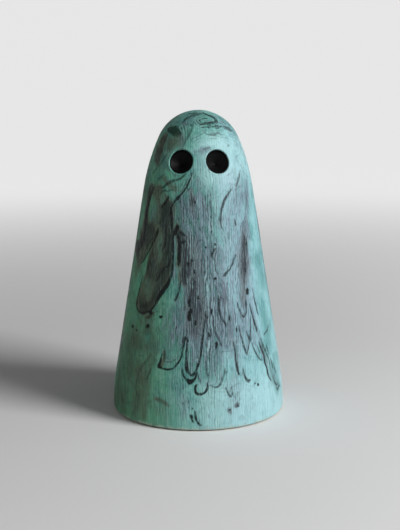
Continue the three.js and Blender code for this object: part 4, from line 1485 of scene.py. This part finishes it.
body, body_points = make_body().build("ghost_body", worn_surface)
ink_sets, spots = ink_fields(body_points, all_lines, all_dots)
for name, values in zip(LINE_SETS, ink_sets):
    store(body.data, name, values)
store(body.data, "spots", spots)
store(body.data, "swirl", swirl_field(body_points, {**SWIRLS, **SIDE_SWIRLS, **behind(SWIRLS)}))
store(body.data, "grain", ring_number(body_points))
store(body.data, "flow", paint_flow(body_points))
store(body.data, "wash", np.stack([
    wash_field(body_points, GREY_PATCHES, side_washes["grey"]),
    wash_field(body_points, DARK_PATCHES, side_washes["dark"], ISLANDS),
    wash_field(body_points, GREEN_PATCHES, side_washes["green"]),
], -1))
body.data.materials.append(body_material())

enamel = eye_material()
eyes = {}
for name, side in (("left_eye", -1), ("right_eye", 1)):
    eyes[name] = make_eye(name + "_lining", side)
    eyes[name].data.materials.append(enamel)

felt = make_felt()
felt.data.materials.append(felt_material())

for piece, node, slot_name in (
    (body, "body", "marbled_wood"),
    (eyes["left_eye"], "left_eye", "eye_black"),
    (eyes["right_eye"], "right_eye", "eye_black"),
    (felt, "base_felt", "felt"),
):
    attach(piece, "root")
    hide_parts(node)


# Floor, light and camera

BACKGROUND = 0.78
REFLECTED = 0.3
ROOM_LIGHT = 0.18
GLOW_FROM = 90
FADE_FROM = 200
FADE_TO = 900


def seen_directly(nodes, links):
    """1 where the camera looks straight at the background, less where a reflection does."""
    path = nodes.new("ShaderNodeLightPath")
    total = path.outputs["Is Camera Ray"]
    for name in ("Is Glossy Ray", "Is Transmission Ray"):
        dimmed = nodes.new("ShaderNodeMath")
        dimmed.operation = "MULTIPLY_ADD"
        links.new(path.outputs[name], dimmed.inputs[0])
        dimmed.inputs[1].default_value = REFLECTED
        links.new(total, dimmed.inputs[2])
        total = dimmed.outputs[0]
    return total


def floor_material():
    """Pale card, which fades into the pale background away from the ornament."""
    s = Shader("pale_floor")
    x, y, z = s.parts(s.place)
    tone = s.noise(s.place, (240, 240, 240), 1.0)
    shade = s.mix(s.times(tone, 0.06), paint(232, 232, 232), paint(150, 150, 150))
    away = s.math("SQRT", s.add(s.times(x, x), s.times(y, y), s.times(z, z)))
    glow = s.times(s.band(GLOW_FROM, FADE_TO, away), seen_directly(s.nodes, s.links), BACKGROUND)
    s.put(s.surface.inputs["Emission Color"], (1, 1, 1, 1))
    s.put(s.surface.inputs["Emission Strength"], glow)
    shade = s.mix(s.band(FADE_FROM, FADE_TO, away), shade, paint(40, 40, 40))
    return s.finish(shade, s.add(0.8, s.times(tone, 0.05)), s.bump(s.times(tone, 0.001)))


def make_floor():
    """A floor that curves up into the backdrop."""
    half_width, front, back, bend, top = 3.0, -2.4, 1.5, 0.7, 3.2
    profile = [(front, 0.0), (back - bend, 0.0)]
    profile += [
        (back - bend + bend * math.sin(turn), bend * (1 - math.cos(turn)))
        for turn in np.linspace(0, math.pi / 2, 16)[1:]
    ]
    profile.append((back, top))
    points = [(x, y, z) for y, z in profile for x in (-half_width, half_width)]
    faces = [(2 * i, 2 * i + 1, 2 * i + 3, 2 * i + 2) for i in range(len(profile) - 1)]
    mesh = bpy.data.meshes.new("floor")
    mesh.from_pydata(points, [], faces)
    mesh.polygons.foreach_set("use_smooth", [True] * len(mesh.polygons))
    floor = bpy.data.objects.new("floor", mesh)
    bpy.context.scene.collection.objects.link(floor)
    floor.data.materials.append(floor_material())
    return floor


make_floor()


def area_light(name, place, aim, width, height, power):
    light = bpy.data.lights.new(name, "AREA")
    light.shape = "RECTANGLE"
    light.size = width
    light.size_y = height
    light.energy = power
    made = bpy.data.objects.new(name, light)
    bpy.context.scene.collection.objects.link(made)
    made.location = place
    made.rotation_euler = (Vector(aim) - Vector(place)).to_track_quat("-Z", "Y").to_euler()
    return made


area_light("key_light", (0.70, -0.42, 0.52), (0, 0, 0.07), 0.40, 0.40, 9.0)
area_light("fill_light", (-0.60, -0.90, 0.30), (0, 0, 0.06), 0.7, 0.7, 0.5)

world = bpy.data.worlds.new("soft_room")
world.use_nodes = True
world_nodes, world_links = world.node_tree.nodes, world.node_tree.links
world_nodes["Background"].inputs["Color"].default_value = (1, 1, 1, 1)
strength = world_nodes.new("ShaderNodeMapRange")
strength.inputs["To Min"].default_value = ROOM_LIGHT
strength.inputs["To Max"].default_value = BACKGROUND
world_links.new(seen_directly(world_nodes, world_links), strength.inputs["Value"])
world_links.new(strength.outputs[0], world_nodes["Background"].inputs["Strength"])
bpy.context.scene.world = world

# The camera, where the photograph was taken from
CAMERA_DISTANCE = 0.450
CAMERA_HEIGHT = 0.1442
CAMERA_AZIMUTH = deg(1.3)
CAMERA_DOWN = deg(10.35)
CAMERA_SWING = deg(0.091)
FOCAL_PIXELS = 1066.8
PHOTO_HEIGHT = 530
SENSOR = 36.0

camera_data = bpy.data.cameras.new("camera")
camera_data.sensor_width = SENSOR
camera_data.lens = FOCAL_PIXELS / PHOTO_HEIGHT * SENSOR
camera_data.clip_start = 0.01
camera = bpy.data.objects.new("camera", camera_data)
bpy.context.scene.collection.objects.link(camera)
camera.location = (
    -CAMERA_DISTANCE * math.sin(CAMERA_AZIMUTH),
    -CAMERA_DISTANCE * math.cos(CAMERA_AZIMUTH),
    CAMERA_HEIGHT,
)
camera.rotation_euler = (deg(90) - CAMERA_DOWN, 0, -CAMERA_AZIMUTH - CAMERA_SWING)
bpy.context.scene.camera = camera
bpy.context.scene.view_settings.view_transform = "Standard"
